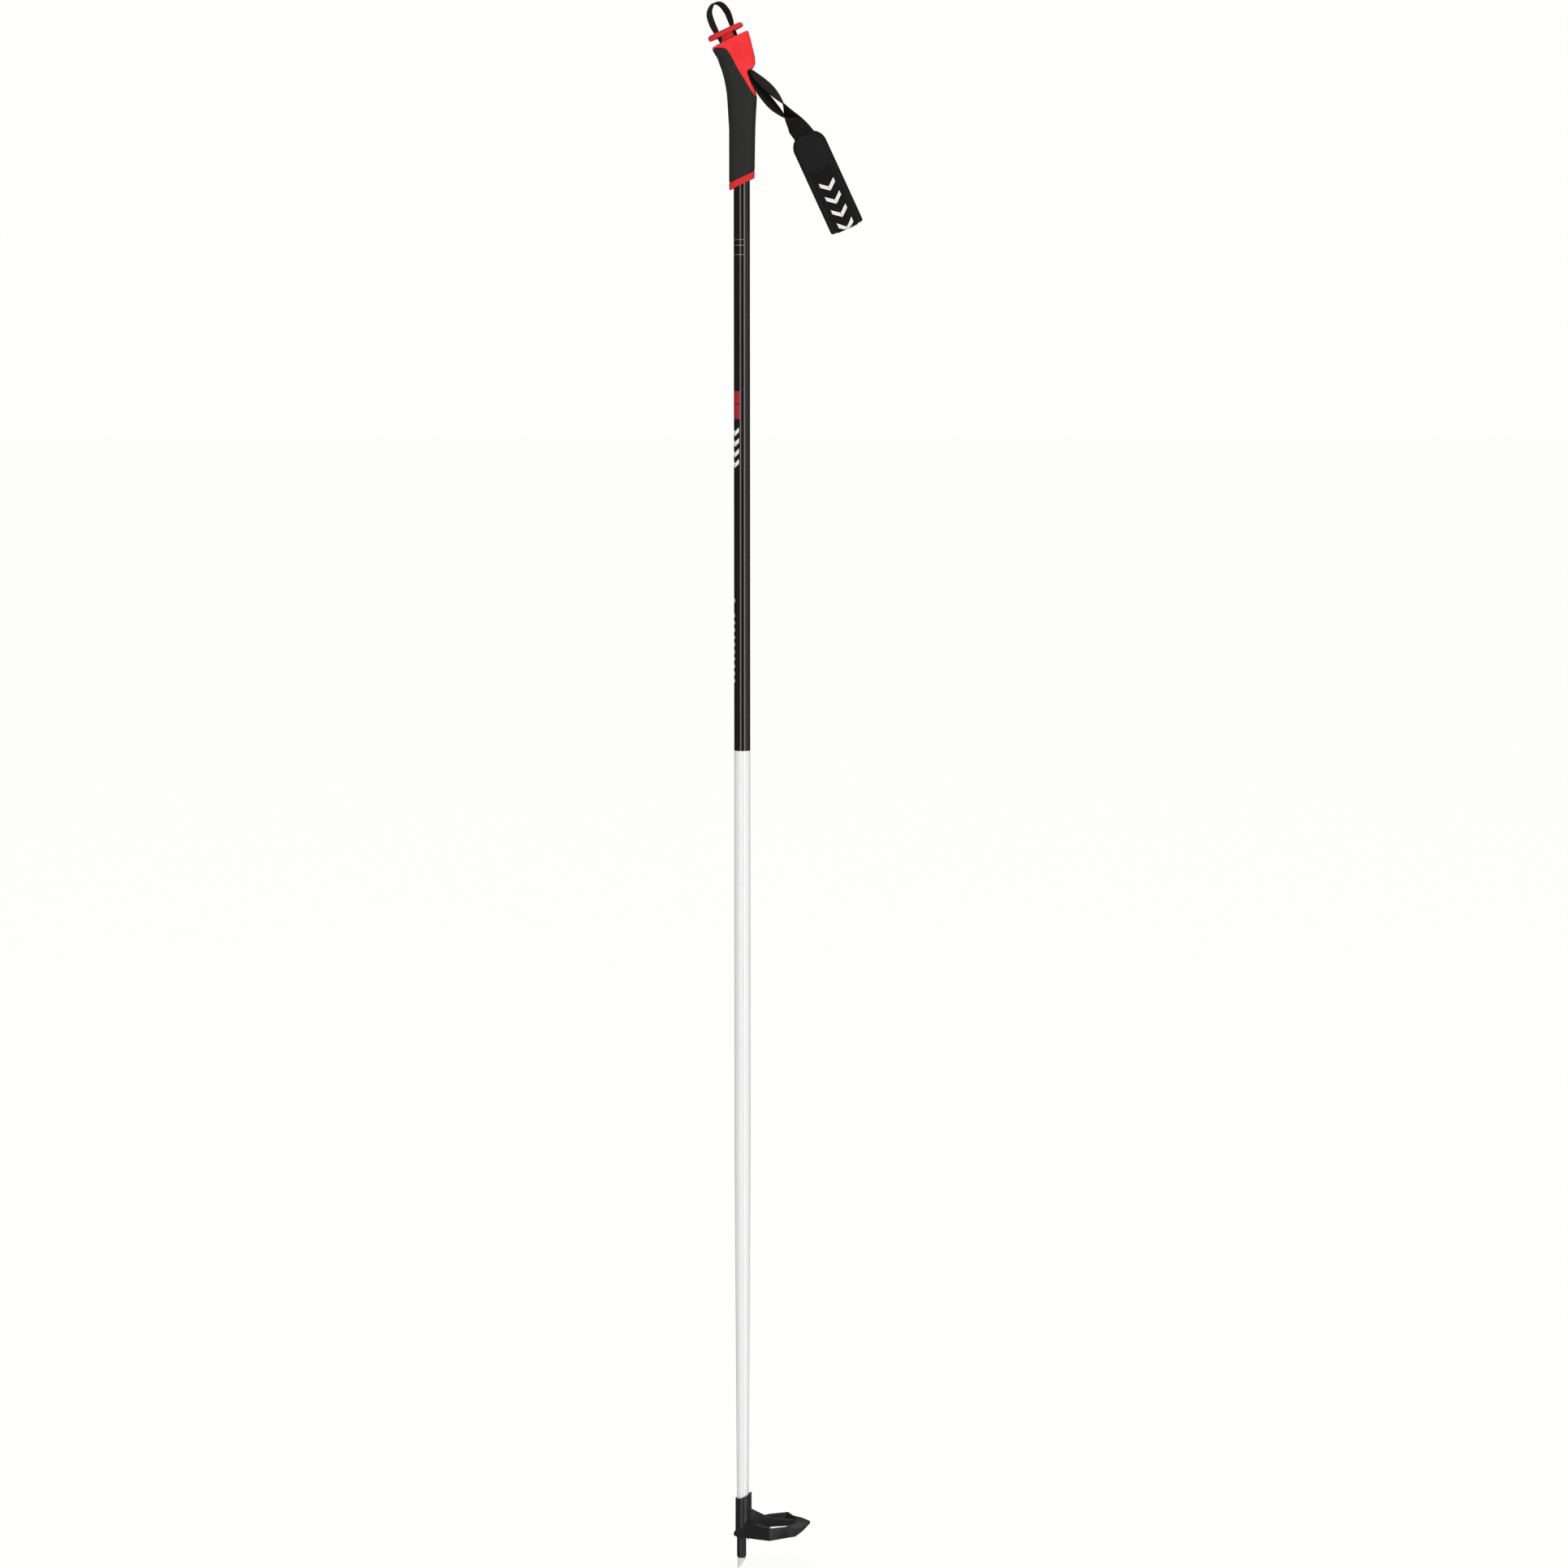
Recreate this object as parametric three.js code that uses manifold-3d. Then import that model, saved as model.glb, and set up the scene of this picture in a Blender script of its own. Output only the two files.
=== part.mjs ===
// A cross-country touring ski pole: alloy tube, two-material grip with a wedge-locked wrist strap,
// and a half-moon basket over a steel spike. Millimetres, +Z up the tube, +X towards the rear of the
// grip (the side the strap leaves from). The origin is on the tube's axis, level with the spike's end.
import * as THREE from "three";
import { mergeVertices } from "three/addons/utils/BufferGeometryUtils.js";
import Module from "manifold-3d";

const wasm = await Module();
wasm.setup();

// ---- driving dimensions -------------------------------------------------------------------------
const TUBE = {
  radius: 8,
  wall: 1,
  top: 1476,
  taperStart: 433,
  bottom: 44,
  bottomRadius: 5.75,
  sides: 32,
};
const GLUE = { gap: 0.15, gripThickness: 0.5, basketThickness: 0.3 };
const CLEARANCE = 0.3; // between touching pieces
const SLANT = THREE.MathUtils.degToRad(25); // lean of the wedge and of the head's top face

const GRIP = {
  socketRadius: 10,
  socketFoot: 1401,
  socketHead: 1503.9,
  boreTop: 1478,
  roundness: 2.6, // exponent of the super-ellipse that every section follows
  sides: 40,
};
// Height, front edge, rear edge and half width of the grip's blank, from the end ring to the head.
const GRIP_SECTIONS = [
  [1379.5, -12.3, 12.3, 12],
  [1441.7, -12.3, 13.2, 12.2],
  [1457.2, -13.1, 13.8, 12.4],
  [1470.8, -13.9, 14.6, 12.7],
  [1480.6, -14.8, 14.8, 12.9],
  [1489.3, -16.3, 14.5, 13.2],
  [1499, -18.7, 13.9, 13.4],
  [1507.8, -21.8, 13.6, 13.7],
  [1513.6, -23.9, 13.2, 13.7],
  [1517.5, -26.5, 12.4, 13.7],
  [1522.4, -28.8, 11.2, 13.7],
  [1531.1, -30.8, 9.1, 13.7],
  [1544.7, -32.3, 5.1, 13.3],
];
// The line between the rubber and the red core, from the beak down to the foot of the tongue (x, z).
const RUBBER_EDGE = [
  [-30.3, 1521],
  [-23.2, 1523.6],
  [-16.4, 1522.7],
  [-10.5, 1516],
  [-4.5, 1504],
  [2.1, 1493.8],
  [8.5, 1483.1],
  [12.8, 1476.7],
];
const HEAD_REAR = [
  [16.2, 1476.1],
  [14.6, 1479.2],
  [8.5, 1490],
  [5.1, 1499.8],
  [8.1, 1503.3],
  [10.7, 1502.8],
  [14.3, 1508.7],
];
const HEAD_TOP = [
  [11.7, 1542.7],
  [-21.3, 1527.5],
];
// The core's keel: the part of the core that the rubber covers, in front of the webbing channel.
const KEEL_FRONT = [
  [-21, 1526.2],
  [-22.5, 1520.4],
  [-20.2, 1513.6],
  [-12.7, 1501.9],
  [-5.9, 1491.3],
  [2, 1481.5],
];
const KEEL_REAR = [
  [4.9, 1482.5],
  [6.9, 1492.2],
  [2.9, 1504.9],
  [-9.8, 1526.2],
];
const KEEL_HALF_WIDTH = 11.4;
const END_RING = { slope: 0.463, foot: 1390.2, height: 7.2, bore: 10.3 };

const WEDGE = {
  x: -15.9,
  z: 1539.1,
  capLength: 37.1,
  capWidth: 23.4,
  capThickness: 5.3,
  slotAt: 8.1,
  tongueLength: 27.5,
  tongueHalf: 4.5,
  tongueEndFrom: 0.2,
  tongueEndTo: 3.2,
  tongueHalfWidth: 8,
};
const CHANNEL = { halfWidth: 10.1, wall: 10.3, straight: -21.5, mouth: -6.5 };
const THROAT_FRONT = [2.2, -44];
const THROAT_REAR = [6.7, -42.3];

const WEBBING = { width: 18.6, thickness: 1.4 };
const PAD = {
  x: 61,
  z: 1441.1,
  lean: THREE.MathUtils.degToRad(24.8),
  width: 34.2,
  straight: 95.5,
  cornerRadius: 12.7,
  halfGap: 3,
  lining: 0.6,
  liningTop: -18,
  band: 3,
  tape: 1.2,
  binding: 1.6,
  tapeWidth: 22.4,
  cover: 0.9,
  coverLength: 35,
  topClearance: 2.5,
};
const REACH = 20; // how far cutting slabs reach past what they cut
// The pad's layers, counted outwards from the inner face, and its edges.
const PAD_TOP = -PAD.topClearance;
const BAND_FROM = PAD.lining + CLEARANCE;
const TAPE_FROM = BAND_FROM + PAD.band + CLEARANCE;
const BAND_HALF = PAD.width / 2 - PAD.binding - CLEARANCE;
const FOLD_REACH = -PAD.straight - REACH;

const BASKET = {
  hubTopFront: 71,
  hubTopRear: 76.2,
  hubTopRadius: 7.4,
  hubFootRadius: 9,
  spineHalf: 2.5,
  wall: 2.4,
  bossBore: 5,
};
// The hub's profile below its slanted top (radius, height).
const HUB_PROFILE = [
  [0, 80],
  [BASKET.hubTopRadius, 80],
  [BASKET.hubTopRadius, 60],
  [BASKET.hubFootRadius, 46],
  [BASKET.hubFootRadius, 33.4],
  [BASKET.hubFootRadius - 1, 32.4],
  [0, 32.4],
];
// The basket's rim seen from the side, and its middle rib (x, z).
const RIM_SIDE = [
  [-9.4, 34.5],
  [-9.4, 38],
  [-7, 49.2],
  [8, 49.2],
  [45, 49.6],
  [60, 48.8],
  [68, 47.4],
  [68, 46.6],
  [53, 38.3],
  [44, 38.8],
  [27, 35.3],
  [-6, 32.4],
];
const RIB_SIDE = [
  [4, 73.6],
  [9, 72.4],
  [9, 60],
  [22.3, 53.7],
  [32, 50.9],
  [53.5, 48.9],
  [53.5, 43],
  [4, 36],
];
const FERRULE = {
  x: -1.3,
  radius: 4.7,
  foot: 11.1,
  shoulder: 32,
  waist: 3.7,
  top: 42.5,
  corner: 1.5,
  spigot: 4.3,
  spigotTop: 60,
};
const SPIKE = {
  shankRadius: 1.5,
  shankTop: 34,
  baseRadius: 4.05,
  shoulder: 10.8,
  baseFoot: 9.5,
  tipX: -4.5,
  tipRadius: 1,
  sides: 16,
};

// ---- finishes -----------------------------------------------------------------------------------
const FINISH = {
  tube: new THREE.MeshStandardMaterial({ color: 0x1c1712, roughness: 0.18, metalness: 0.3 }),
  glue: new THREE.MeshStandardMaterial({ color: 0xd9cfa8, roughness: 0.5, metalness: 0 }),
  red: new THREE.MeshStandardMaterial({ color: 0xf8404a, roughness: 0.45, metalness: 0 }),
  rubber: new THREE.MeshStandardMaterial({ color: 0x2f2f2d, roughness: 0.85, metalness: 0 }),
  webbing: new THREE.MeshStandardMaterial({ color: 0x1f1e1d, roughness: 0.9, metalness: 0 }),
  padFabric: new THREE.MeshStandardMaterial({ color: 0x242425, roughness: 0.95, metalness: 0 }),
  tape: new THREE.MeshStandardMaterial({ color: 0x20201c, roughness: 0.8, metalness: 0 }),
  basket: new THREE.MeshStandardMaterial({ color: 0x1b1b1b, roughness: 0.4, metalness: 0 }),
  steel: new THREE.MeshStandardMaterial({ color: 0xc9c9c9, roughness: 0.3, metalness: 1 }),
};

// ---- solids from geometries ---------------------------------------------------------------------
function toSolid(geometry) {
  const bare = geometry.index ? geometry.toNonIndexed() : geometry.clone();
  bare.deleteAttribute("normal");
  bare.deleteAttribute("uv");
  const merged = mergeVertices(bare, 1e-4);
  const make = (triVerts) =>
    new wasm.Manifold(
      new wasm.Mesh({
        numProp: 3,
        vertProperties: new Float32Array(merged.attributes.position.array),
        triVerts,
      }),
    );
  const triangles = new Uint32Array(merged.index.array);
  const solid = make(triangles);
  if (solid.volume() > 0) return solid;
  for (let i = 0; i < triangles.length; i += 3) {
    [triangles[i + 1], triangles[i + 2]] = [triangles[i + 2], triangles[i + 1]];
  }
  return make(triangles);
}

function toGeometry(solid) {
  const mesh = solid.getMesh();
  const geometry = new THREE.BufferGeometry();
  geometry.setAttribute("position", new THREE.BufferAttribute(mesh.vertProperties, mesh.numProp));
  geometry.setIndex(new THREE.BufferAttribute(mesh.triVerts, 1));
  geometry.computeVertexNormals();
  return geometry;
}

function part(name, solid, finish) {
  const mesh = new THREE.Mesh(toGeometry(solid), finish);
  mesh.name = name;
  return mesh;
}

// An (x, z) outline made into a slab of the given half width along Y.
function sideSlab(points, halfWidth) {
  const shape = new THREE.Shape(points.map(([x, z]) => new THREE.Vector2(x, z)));
  const slab = new THREE.ExtrudeGeometry(shape, { depth: 2 * halfWidth, bevelEnabled: false });
  slab.translate(0, 0, -halfWidth);
  slab.rotateX(Math.PI / 2);
  return toSolid(slab);
}

// An (x, y) outline made into a slab between two heights.
function planSlab(shape, low, high) {
  const slab = new THREE.ExtrudeGeometry(shape, {
    depth: high - low,
    bevelEnabled: false,
    curveSegments: 10,
  });
  slab.translate(0, 0, low);
  return toSolid(slab);
}

// A closed (radius, height) profile turned about the Z axis.
function turned(profile, sides) {
  const points = profile.map(([r, z]) => new THREE.Vector2(r, z));
  points.push(points[0].clone());
  const lathe = new THREE.LatheGeometry(points, sides);
  lathe.rotateX(Math.PI / 2);
  return toSolid(lathe);
}

function rod(radius, low, high, sides = TUBE.sides) {
  const cylinder = new THREE.CylinderGeometry(radius, radius, high - low, sides);
  cylinder.rotateX(Math.PI / 2);
  cylinder.translate(0, 0, (low + high) / 2);
  return toSolid(cylinder);
}

// Every vertex of a geometry moved by a rule that takes and gives a Vector3.
function reshaped(geometry, rule) {
  const place = geometry.attributes.position;
  const vertex = new THREE.Vector3();
  for (let i = 0; i < place.count; i += 1) {
    rule(vertex.fromBufferAttribute(place, i));
    place.setXYZ(i, vertex.x, vertex.y, vertex.z);
  }
  return geometry;
}

// A flat ribbon along stations [x, y, z, twist in degrees]. Untwisted, its width lies along Y.
function ribbon(stations, steps) {
  const { width, thickness } = WEBBING;
  const path = new THREE.CatmullRomCurve3(stations.map(([x, y, z]) => new THREE.Vector3(x, y, z)));
  const twistAt = (t) => {
    const place = Math.min(t, 1 - 1e-9) * (stations.length - 1);
    const low = Math.floor(place);
    const angle = THREE.MathUtils.lerp(stations[low][3], stations[low + 1][3], place - low);
    return THREE.MathUtils.degToRad(angle);
  };
  const box = new THREE.BoxGeometry(1, thickness, width, steps, 1, 2);
  const across = new THREE.Vector3();
  const outward = new THREE.Vector3();
  return toSolid(
    reshaped(box, (v) => {
      const t = v.x + 0.5;
      const along = path.getTangent(t);
      across.set(0, 1, 0).addScaledVector(along, -along.y).normalize();
      outward.crossVectors(along, across);
      const twist = twistAt(t);
      const lift = v.y * Math.cos(twist) + v.z * Math.sin(twist);
      const shift = v.z * Math.cos(twist) - v.y * Math.sin(twist);
      v.copy(path.getPoint(t)).addScaledVector(outward, lift).addScaledVector(across, shift);
    }),
  );
}

// ---- tube ---------------------------------------------------------------------------------------
function shaftTube() {
  const { radius, wall, top, taperStart, bottom, bottomRadius, sides } = TUBE;
  return turned(
    [
      [radius, top],
      [radius, taperStart],
      [bottomRadius, bottom],
      [bottomRadius - wall, bottom],
      [radius - wall, taperStart],
      [radius - wall, top],
    ],
    sides,
  );
}

function glueSleeve(low, high, radiusLow, radiusHigh, thickness) {
  return turned(
    [
      [radiusHigh + GLUE.gap + thickness, high],
      [radiusHigh + GLUE.gap, high],
      [radiusLow + GLUE.gap, low],
      [radiusLow + GLUE.gap + thickness, low],
    ],
    TUBE.sides,
  );
}

function tubeRadiusAt(z) {
  const share = (TUBE.taperStart - z) / (TUBE.taperStart - TUBE.bottom);
  return THREE.MathUtils.lerp(TUBE.radius, TUBE.bottomRadius, THREE.MathUtils.clamp(share, 0, 1));
}

// ---- grip ---------------------------------------------------------------------------------------
// The full outer shape of the grip, cut to its rubber, core and end ring afterwards.
function gripBlank() {
  const low = GRIP_SECTIONS[0][0];
  const high = GRIP_SECTIONS.at(-1)[0];
  const rows = 24;
  const cylinder = new THREE.CylinderGeometry(1, 1, 1, GRIP.sides, rows);
  const power = 2 / GRIP.roundness;
  return toSolid(
    reshaped(cylinder, (v) => {
      const z = THREE.MathUtils.lerp(low, high, v.y + 0.5);
      const next = Math.max(1, GRIP_SECTIONS.findIndex((row) => row[0] >= z - 1e-6));
      const [z0, front0, rear0, half0] = GRIP_SECTIONS[next - 1];
      const [z1, front1, rear1, half1] = GRIP_SECTIONS[next];
      const t = (z - z0) / (z1 - z0);
      const front = THREE.MathUtils.lerp(front0, front1, t);
      const rear = THREE.MathUtils.lerp(rear0, rear1, t);
      const half = THREE.MathUtils.lerp(half0, half1, t);
      const squared = (c) => Math.sign(c) * Math.abs(c) ** power;
      v.set((front + rear) / 2 + ((rear - front) / 2) * squared(v.x), half * squared(v.z), z);
    }),
  );
}

function placed(solid, x, z, lean) {
  const matrix = new THREE.Matrix4().makeRotationY(-lean).setPosition(x, 0, z);
  return solid.transform(matrix.elements);
}

function webbingChannel() {
  const { halfWidth, wall, straight, mouth } = CHANNEL;
  const outline = [
    [-wall, mouth],
    [-wall, straight],
    THROAT_FRONT,
    THROAT_REAR,
    [wall, straight],
    [wall, mouth],
  ];
  return placed(sideSlab(outline, halfWidth), WEDGE.x, WEDGE.z, SLANT);
}

function gripCore(blank) {
  const head = blank.intersect(sideSlab([...RUBBER_EDGE, ...HEAD_REAR, ...HEAD_TOP], REACH));
  const belowGrip = GRIP.socketFoot - REACH;
  const wholeSide = [[-1.5 * REACH, belowGrip], [1.5 * REACH, belowGrip], ...HEAD_REAR, ...HEAD_TOP];
  const column = rod(GRIP.socketRadius, GRIP.socketFoot, GRIP.socketHead);
  const socket = column.intersect(sideSlab(wholeSide, REACH));
  const keel = blank.intersect(sideSlab([...KEEL_FRONT, ...KEEL_REAR], KEEL_HALF_WIDTH));
  const boreRadius = TUBE.radius + 2 * GLUE.gap + GLUE.gripThickness;
  const bore = rod(boreRadius, GRIP.socketFoot - 1, GRIP.boreTop);
  return head.add(keel).add(socket).subtract(bore).subtract(webbingChannel());
}

function ringEdge(x, lift) {
  return [x, END_RING.foot + END_RING.slope * x + lift];
}

function gripSleeve(blank) {
  const border = RUBBER_EDGE.map(([x, z]) => [x - CLEARANCE, z - CLEARANCE]);
  const foot = END_RING.height + CLEARANCE;
  const outline = [
    ...border,
    [13.9, 1475.7],
    [REACH, 1475.3],
    ringEdge(REACH, foot),
    ringEdge(-REACH, foot),
    [-34, 1440],
  ];
  const bore = rod(GRIP.socketRadius + CLEARANCE, GRIP.socketFoot - REACH, GRIP.socketHead + CLEARANCE);
  const keelSide = [
    ...KEEL_FRONT.map(([x, z]) => [x - CLEARANCE, z - 1.5 * CLEARANCE]),
    ...KEEL_REAR.map(([x, z]) => [x + 2 * CLEARANCE, z]),
  ];
  const keel = sideSlab(keelSide, KEEL_HALF_WIDTH + CLEARANCE);
  return blank.intersect(sideSlab(outline, REACH)).subtract(bore).subtract(keel);
}

function gripEndRing(blank) {
  const { height, bore } = END_RING;
  const outline = [
    ringEdge(-REACH, 0),
    ringEdge(REACH, 0),
    ringEdge(REACH, height),
    ringEdge(-REACH, height),
  ];
  const hole = rod(bore, END_RING.foot - REACH, END_RING.foot + REACH);
  return blank.intersect(sideSlab(outline, REACH)).subtract(hole);
}

// The two runs of webbing inside the head, along the channel's walls down to the throat.
function channelWebbing(wallTop, wallEnd, inward) {
  const start = CHANNEL.straight - 1;
  const inset = inward * (WEBBING.thickness / 2 + 3 * CLEARANCE);
  const stations = [
    [wallTop + inset, 0, start, 0],
    [(wallTop + wallEnd[0]) / 2 + inset, 0, (start + wallEnd[1]) / 2, 0],
    [wallEnd[0] + inset, 0, wallEnd[1] + 1, 0],
  ];
  return placed(ribbon(stations, 6), WEDGE.x, WEDGE.z, SLANT);
}

// ---- strap wedge and pull loop, in the wedge's own frame ----------------------------------------
function strapWedge() {
  const { capLength, capWidth, capThickness, slotAt, tongueLength, tongueHalf } = WEDGE;
  const flat = capLength / 2 - capWidth / 2;
  const oval = new THREE.Shape();
  oval.absarc(flat, 0, capWidth / 2, -Math.PI / 2, Math.PI / 2, false);
  oval.absarc(-flat, 0, capWidth / 2, Math.PI / 2, (3 * Math.PI) / 2, false);
  let wedgeBody = planSlab(oval, -capThickness / 2, capThickness / 2);
  const tongue = [
    [-tongueHalf, 0],
    [WEDGE.tongueEndFrom, -tongueLength],
    [WEDGE.tongueEndTo, -tongueLength],
    [tongueHalf, 0],
  ];
  wedgeBody = wedgeBody.add(sideSlab(tongue, WEDGE.tongueHalfWidth));
  const slotHalf = WEBBING.thickness / 2 + CLEARANCE + 0.05;
  const slotDepth = 9;
  for (const side of [-1, 1]) {
    const at = side * slotAt;
    const slot = [
      [at - slotHalf, -slotDepth],
      [at + slotHalf, -slotDepth],
      [at + slotHalf, slotDepth],
      [at - slotHalf, slotDepth],
    ];
    wedgeBody = wedgeBody.subtract(sideSlab(slot, WEBBING.width / 2 + CLEARANCE));
  }
  return wedgeBody;
}

function pullLoop() {
  const at = WEDGE.slotAt;
  return ribbon(
    [
      [-at, 0, -16, 0],
      [-at, 0, -9, 0],
      [-at, 0, -2, 0],
      [-at, 0, 5, 0],
      [-8.4, 0, 13.6, 8],
      [-6.2, 0, 24.7, 10],
      [0.4, 0, 29.8, 0],
      [7, 0, 26.8, -8],
      [9.9, 0, 17.3, -8],
      [9.2, 0, 7.8, 0],
      [at, 0, 3, 0],
      [at, 0, -4, 0],
      [at, 0, -10, 0],
      [at, 0, -16, 0],
    ],
    40,
  );
}

// ---- strap strands between the grip and the pad -------------------------------------------------
function strandUpper() {
  return ribbon(
    [
      [10.7, 0, 1499.3, 0],
      [16.8, 0, 1493.4, -22],
      [24.3, 0, 1485.4, -38],
      [32.3, 0, 1477.8, -24],
      [40.2, -0.8, 1469.4, 0],
      [48.4, -2, 1458.4, 40],
      [54.8, -1.6, 1448.5, 78],
      [60.3, -1.1, 1442.7, 90],
    ],
    42,
  );
}

function strandLower() {
  return ribbon(
    [
      [9.1, 0, 1497.3, 0],
      [14.5, 0, 1488.5, -6],
      [21.7, 0, 1478.2, -14],
      [29.2, 0, 1469.1, -14],
      [37.2, 0.8, 1460.5, 0],
      [45.2, 1.8, 1453.6, 40],
      [53.1, 1.6, 1447.7, 78],
      [59.9, 1.1, 1442.7, 90],
    ],
    42,
  );
}

// ---- hand pad, in its own frame: X across, Z up towards the strap -------------------------------
// The hairpin between two distances from the inner face, hanging down and folded at the bottom.
function hairpin(from, to, halfWidth) {
  const half = [
    [0.3, PAD_TOP],
    [1.3, -14],
    [2.5, -30],
    [PAD.halfGap, -48],
    [PAD.halfGap, -PAD.straight],
  ];
  const foldSteps = 8;
  const side = (offset) => {
    const down = half.map(([y, z]) => [y + offset, z]);
    const radius = PAD.halfGap + offset;
    const fold = [];
    for (let i = 1; i < foldSteps; i += 1) {
      const angle = (Math.PI * i) / foldSteps;
      fold.push([radius * Math.cos(angle), -PAD.straight - radius * Math.sin(angle)]);
    }
    const up = down.map(([y, z]) => [-y, z]).reverse();
    return [...down, ...fold, ...up];
  };
  const outline = [...side(to), ...side(from).reverse()];
  return sideSlab(outline, halfWidth).rotate([0, 0, 90]);
}

// The pad's front outline: straight sides and rounded upper corners, laid through the whole pad.
function padOutline(halfWidth, top, bottom) {
  const corner = Math.min(PAD.cornerRadius, halfWidth - 2);
  const shape = new THREE.Shape();
  shape.moveTo(-halfWidth, bottom);
  shape.lineTo(halfWidth, bottom);
  shape.lineTo(halfWidth, top - corner);
  shape.absarc(halfWidth - corner, top - corner, corner, 0, Math.PI / 2, false);
  shape.lineTo(-halfWidth + corner, top);
  shape.absarc(-halfWidth + corner, top - corner, corner, Math.PI / 2, Math.PI, false);
  const slab = new THREE.ExtrudeGeometry(shape, {
    depth: 2 * REACH,
    bevelEnabled: false,
    curveSegments: 6,
  });
  slab.translate(0, 0, -REACH);
  slab.rotateX(Math.PI / 2);
  return toSolid(slab);
}

function padBand() {
  const outline = padOutline(BAND_HALF, PAD_TOP, FOLD_REACH);
  return hairpin(BAND_FROM, BAND_FROM + PAD.band, REACH).intersect(outline);
}

// What lies below a line across the pad.
function belowLine(layer, top) {
  const outline = [
    [-REACH, top],
    [REACH, top],
    [REACH, FOLD_REACH],
    [-REACH, FOLD_REACH],
  ];
  return layer.intersect(sideSlab(outline, REACH));
}

function padLining() {
  return belowLine(hairpin(0, PAD.lining, BAND_HALF - 1), PAD.liningTop);
}

function padTape() {
  const layer = hairpin(TAPE_FROM, TAPE_FROM + PAD.tape, PAD.tapeWidth / 2);
  return belowLine(layer, -PAD.coverLength - CLEARANCE);
}

function padBinding(side) {
  const inner = side * (BAND_HALF + CLEARANCE);
  const outer = side * (PAD.width / 2);
  const top = PAD_TOP - PAD.cornerRadius;
  const strip = hairpin(BAND_FROM - 0.2, BAND_FROM + PAD.band + 0.2, REACH);
  const cut = [
    [inner, top],
    [outer, top],
    [outer, FOLD_REACH],
    [inner, FOLD_REACH],
  ];
  return strip.intersect(sideSlab(cut, REACH));
}

function padCover(side) {
  const layer = hairpin(TAPE_FROM, TAPE_FROM + PAD.cover, REACH);
  const outline = padOutline(BAND_HALF, PAD_TOP, -PAD.coverLength);
  const halfDepth = REACH / 2;
  const face = [
    [-REACH, REACH],
    [REACH, REACH],
    [REACH, FOLD_REACH],
    [-REACH, FOLD_REACH],
  ];
  const half = sideSlab(face, halfDepth).translate([0, side * halfDepth, 0]);
  return layer.intersect(outline).intersect(half);
}

// ---- basket and tip -----------------------------------------------------------------------------
function basketHub() {
  const { hubTopFront, hubTopRear, hubTopRadius } = BASKET;
  const slope = (hubTopRear - hubTopFront) / (2 * hubTopRadius);
  const middle = (hubTopRear + hubTopFront) / 2;
  const cut = [
    [-REACH, 0],
    [REACH, 0],
    [REACH, middle + slope * REACH],
    [-REACH, middle - slope * REACH],
  ];
  return turned(HUB_PROFILE, TUBE.sides).intersect(sideSlab(cut, REACH));
}

function basketRing() {
  const plan = new THREE.Shape();
  plan.moveTo(-9.4, 3.5);
  plan.absarc(-3.4, 0, 7, 2.6, 1.7, true);
  plan.lineTo(8, 14);
  plan.lineTo(27, 32);
  plan.lineTo(45, 33);
  plan.lineTo(60.5, 20);
  plan.lineTo(68, 3.4);
  plan.lineTo(68, -3.4);
  plan.lineTo(60.5, -20);
  plan.lineTo(45, -33);
  plan.lineTo(27, -32);
  plan.lineTo(8, -14);
  plan.absarc(-3.4, 0, 7, -1.7, -2.6, true);
  plan.lineTo(-9.4, -3.5);
  return planSlab(plan, 0, 4 * REACH).intersect(sideSlab(RIM_SIDE, 2 * REACH));
}

function basketHole(side) {
  const hole = new THREE.Shape();
  const near = BASKET.spineHalf;
  hole.moveTo(22.6, side * near);
  hole.lineTo(51, side * near);
  hole.lineTo(49, side * 16);
  hole.lineTo(42.5, side * (33 - 1.6 * BASKET.wall));
  hole.lineTo(29, side * (32 - 1.2 * BASKET.wall));
  hole.lineTo(17.5, side * 19);
  hole.lineTo(18, side * 10);
  return planSlab(hole, 0, 4 * REACH);
}

function basket() {
  const rib = sideSlab(RIB_SIDE, BASKET.spineHalf);
  const rim = basketRing().subtract(basketHole(1)).subtract(basketHole(-1));
  const boreFoot = TUBE.bottom - CLEARANCE;
  const boreTop = BASKET.hubTopRear + REACH;
  const gap = 2 * GLUE.gap + GLUE.basketThickness;
  const bore = turned(
    [
      [0, boreFoot],
      [tubeRadiusAt(boreFoot) + gap, boreFoot],
      [tubeRadiusAt(boreTop) + gap, boreTop],
      [0, boreTop],
    ],
    TUBE.sides,
  );
  const boss = rod(BASKET.bossBore, boreFoot - REACH, boreFoot + 1).translate([FERRULE.x / 2, 0, 0]);
  return rim.add(basketHub()).add(rib).subtract(bore).subtract(boss);
}

function tipFerrule() {
  const { x, radius, foot, shoulder, waist, top, corner, spigot, spigotTop } = FERRULE;
  const profile = [[0, foot]];
  const cornerSteps = 4;
  for (let i = 0; i <= cornerSteps; i += 1) {
    const angle = (Math.PI / 2) * (i / cornerSteps);
    profile.push([radius - corner + corner * Math.sin(angle), foot + corner - corner * Math.cos(angle)]);
  }
  profile.push([radius, shoulder]);
  profile.push([0, shoulder]);
  const nose = turned(profile, TUBE.sides).translate([x, 0, 0]);
  const stem = turned(
    [
      [0, shoulder - 1],
      [waist, shoulder - 1],
      [waist, top],
      [spigot, top + 1],
      [spigot, spigotTop],
      [0, spigotTop],
    ],
    TUBE.sides,
  );
  const socket = rod(SPIKE.shankRadius + CLEARANCE, foot - 1, SPIKE.shankTop + 1, SPIKE.sides);
  return nose.add(stem).subtract(socket.translate([x, 0, 0]));
}

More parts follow.
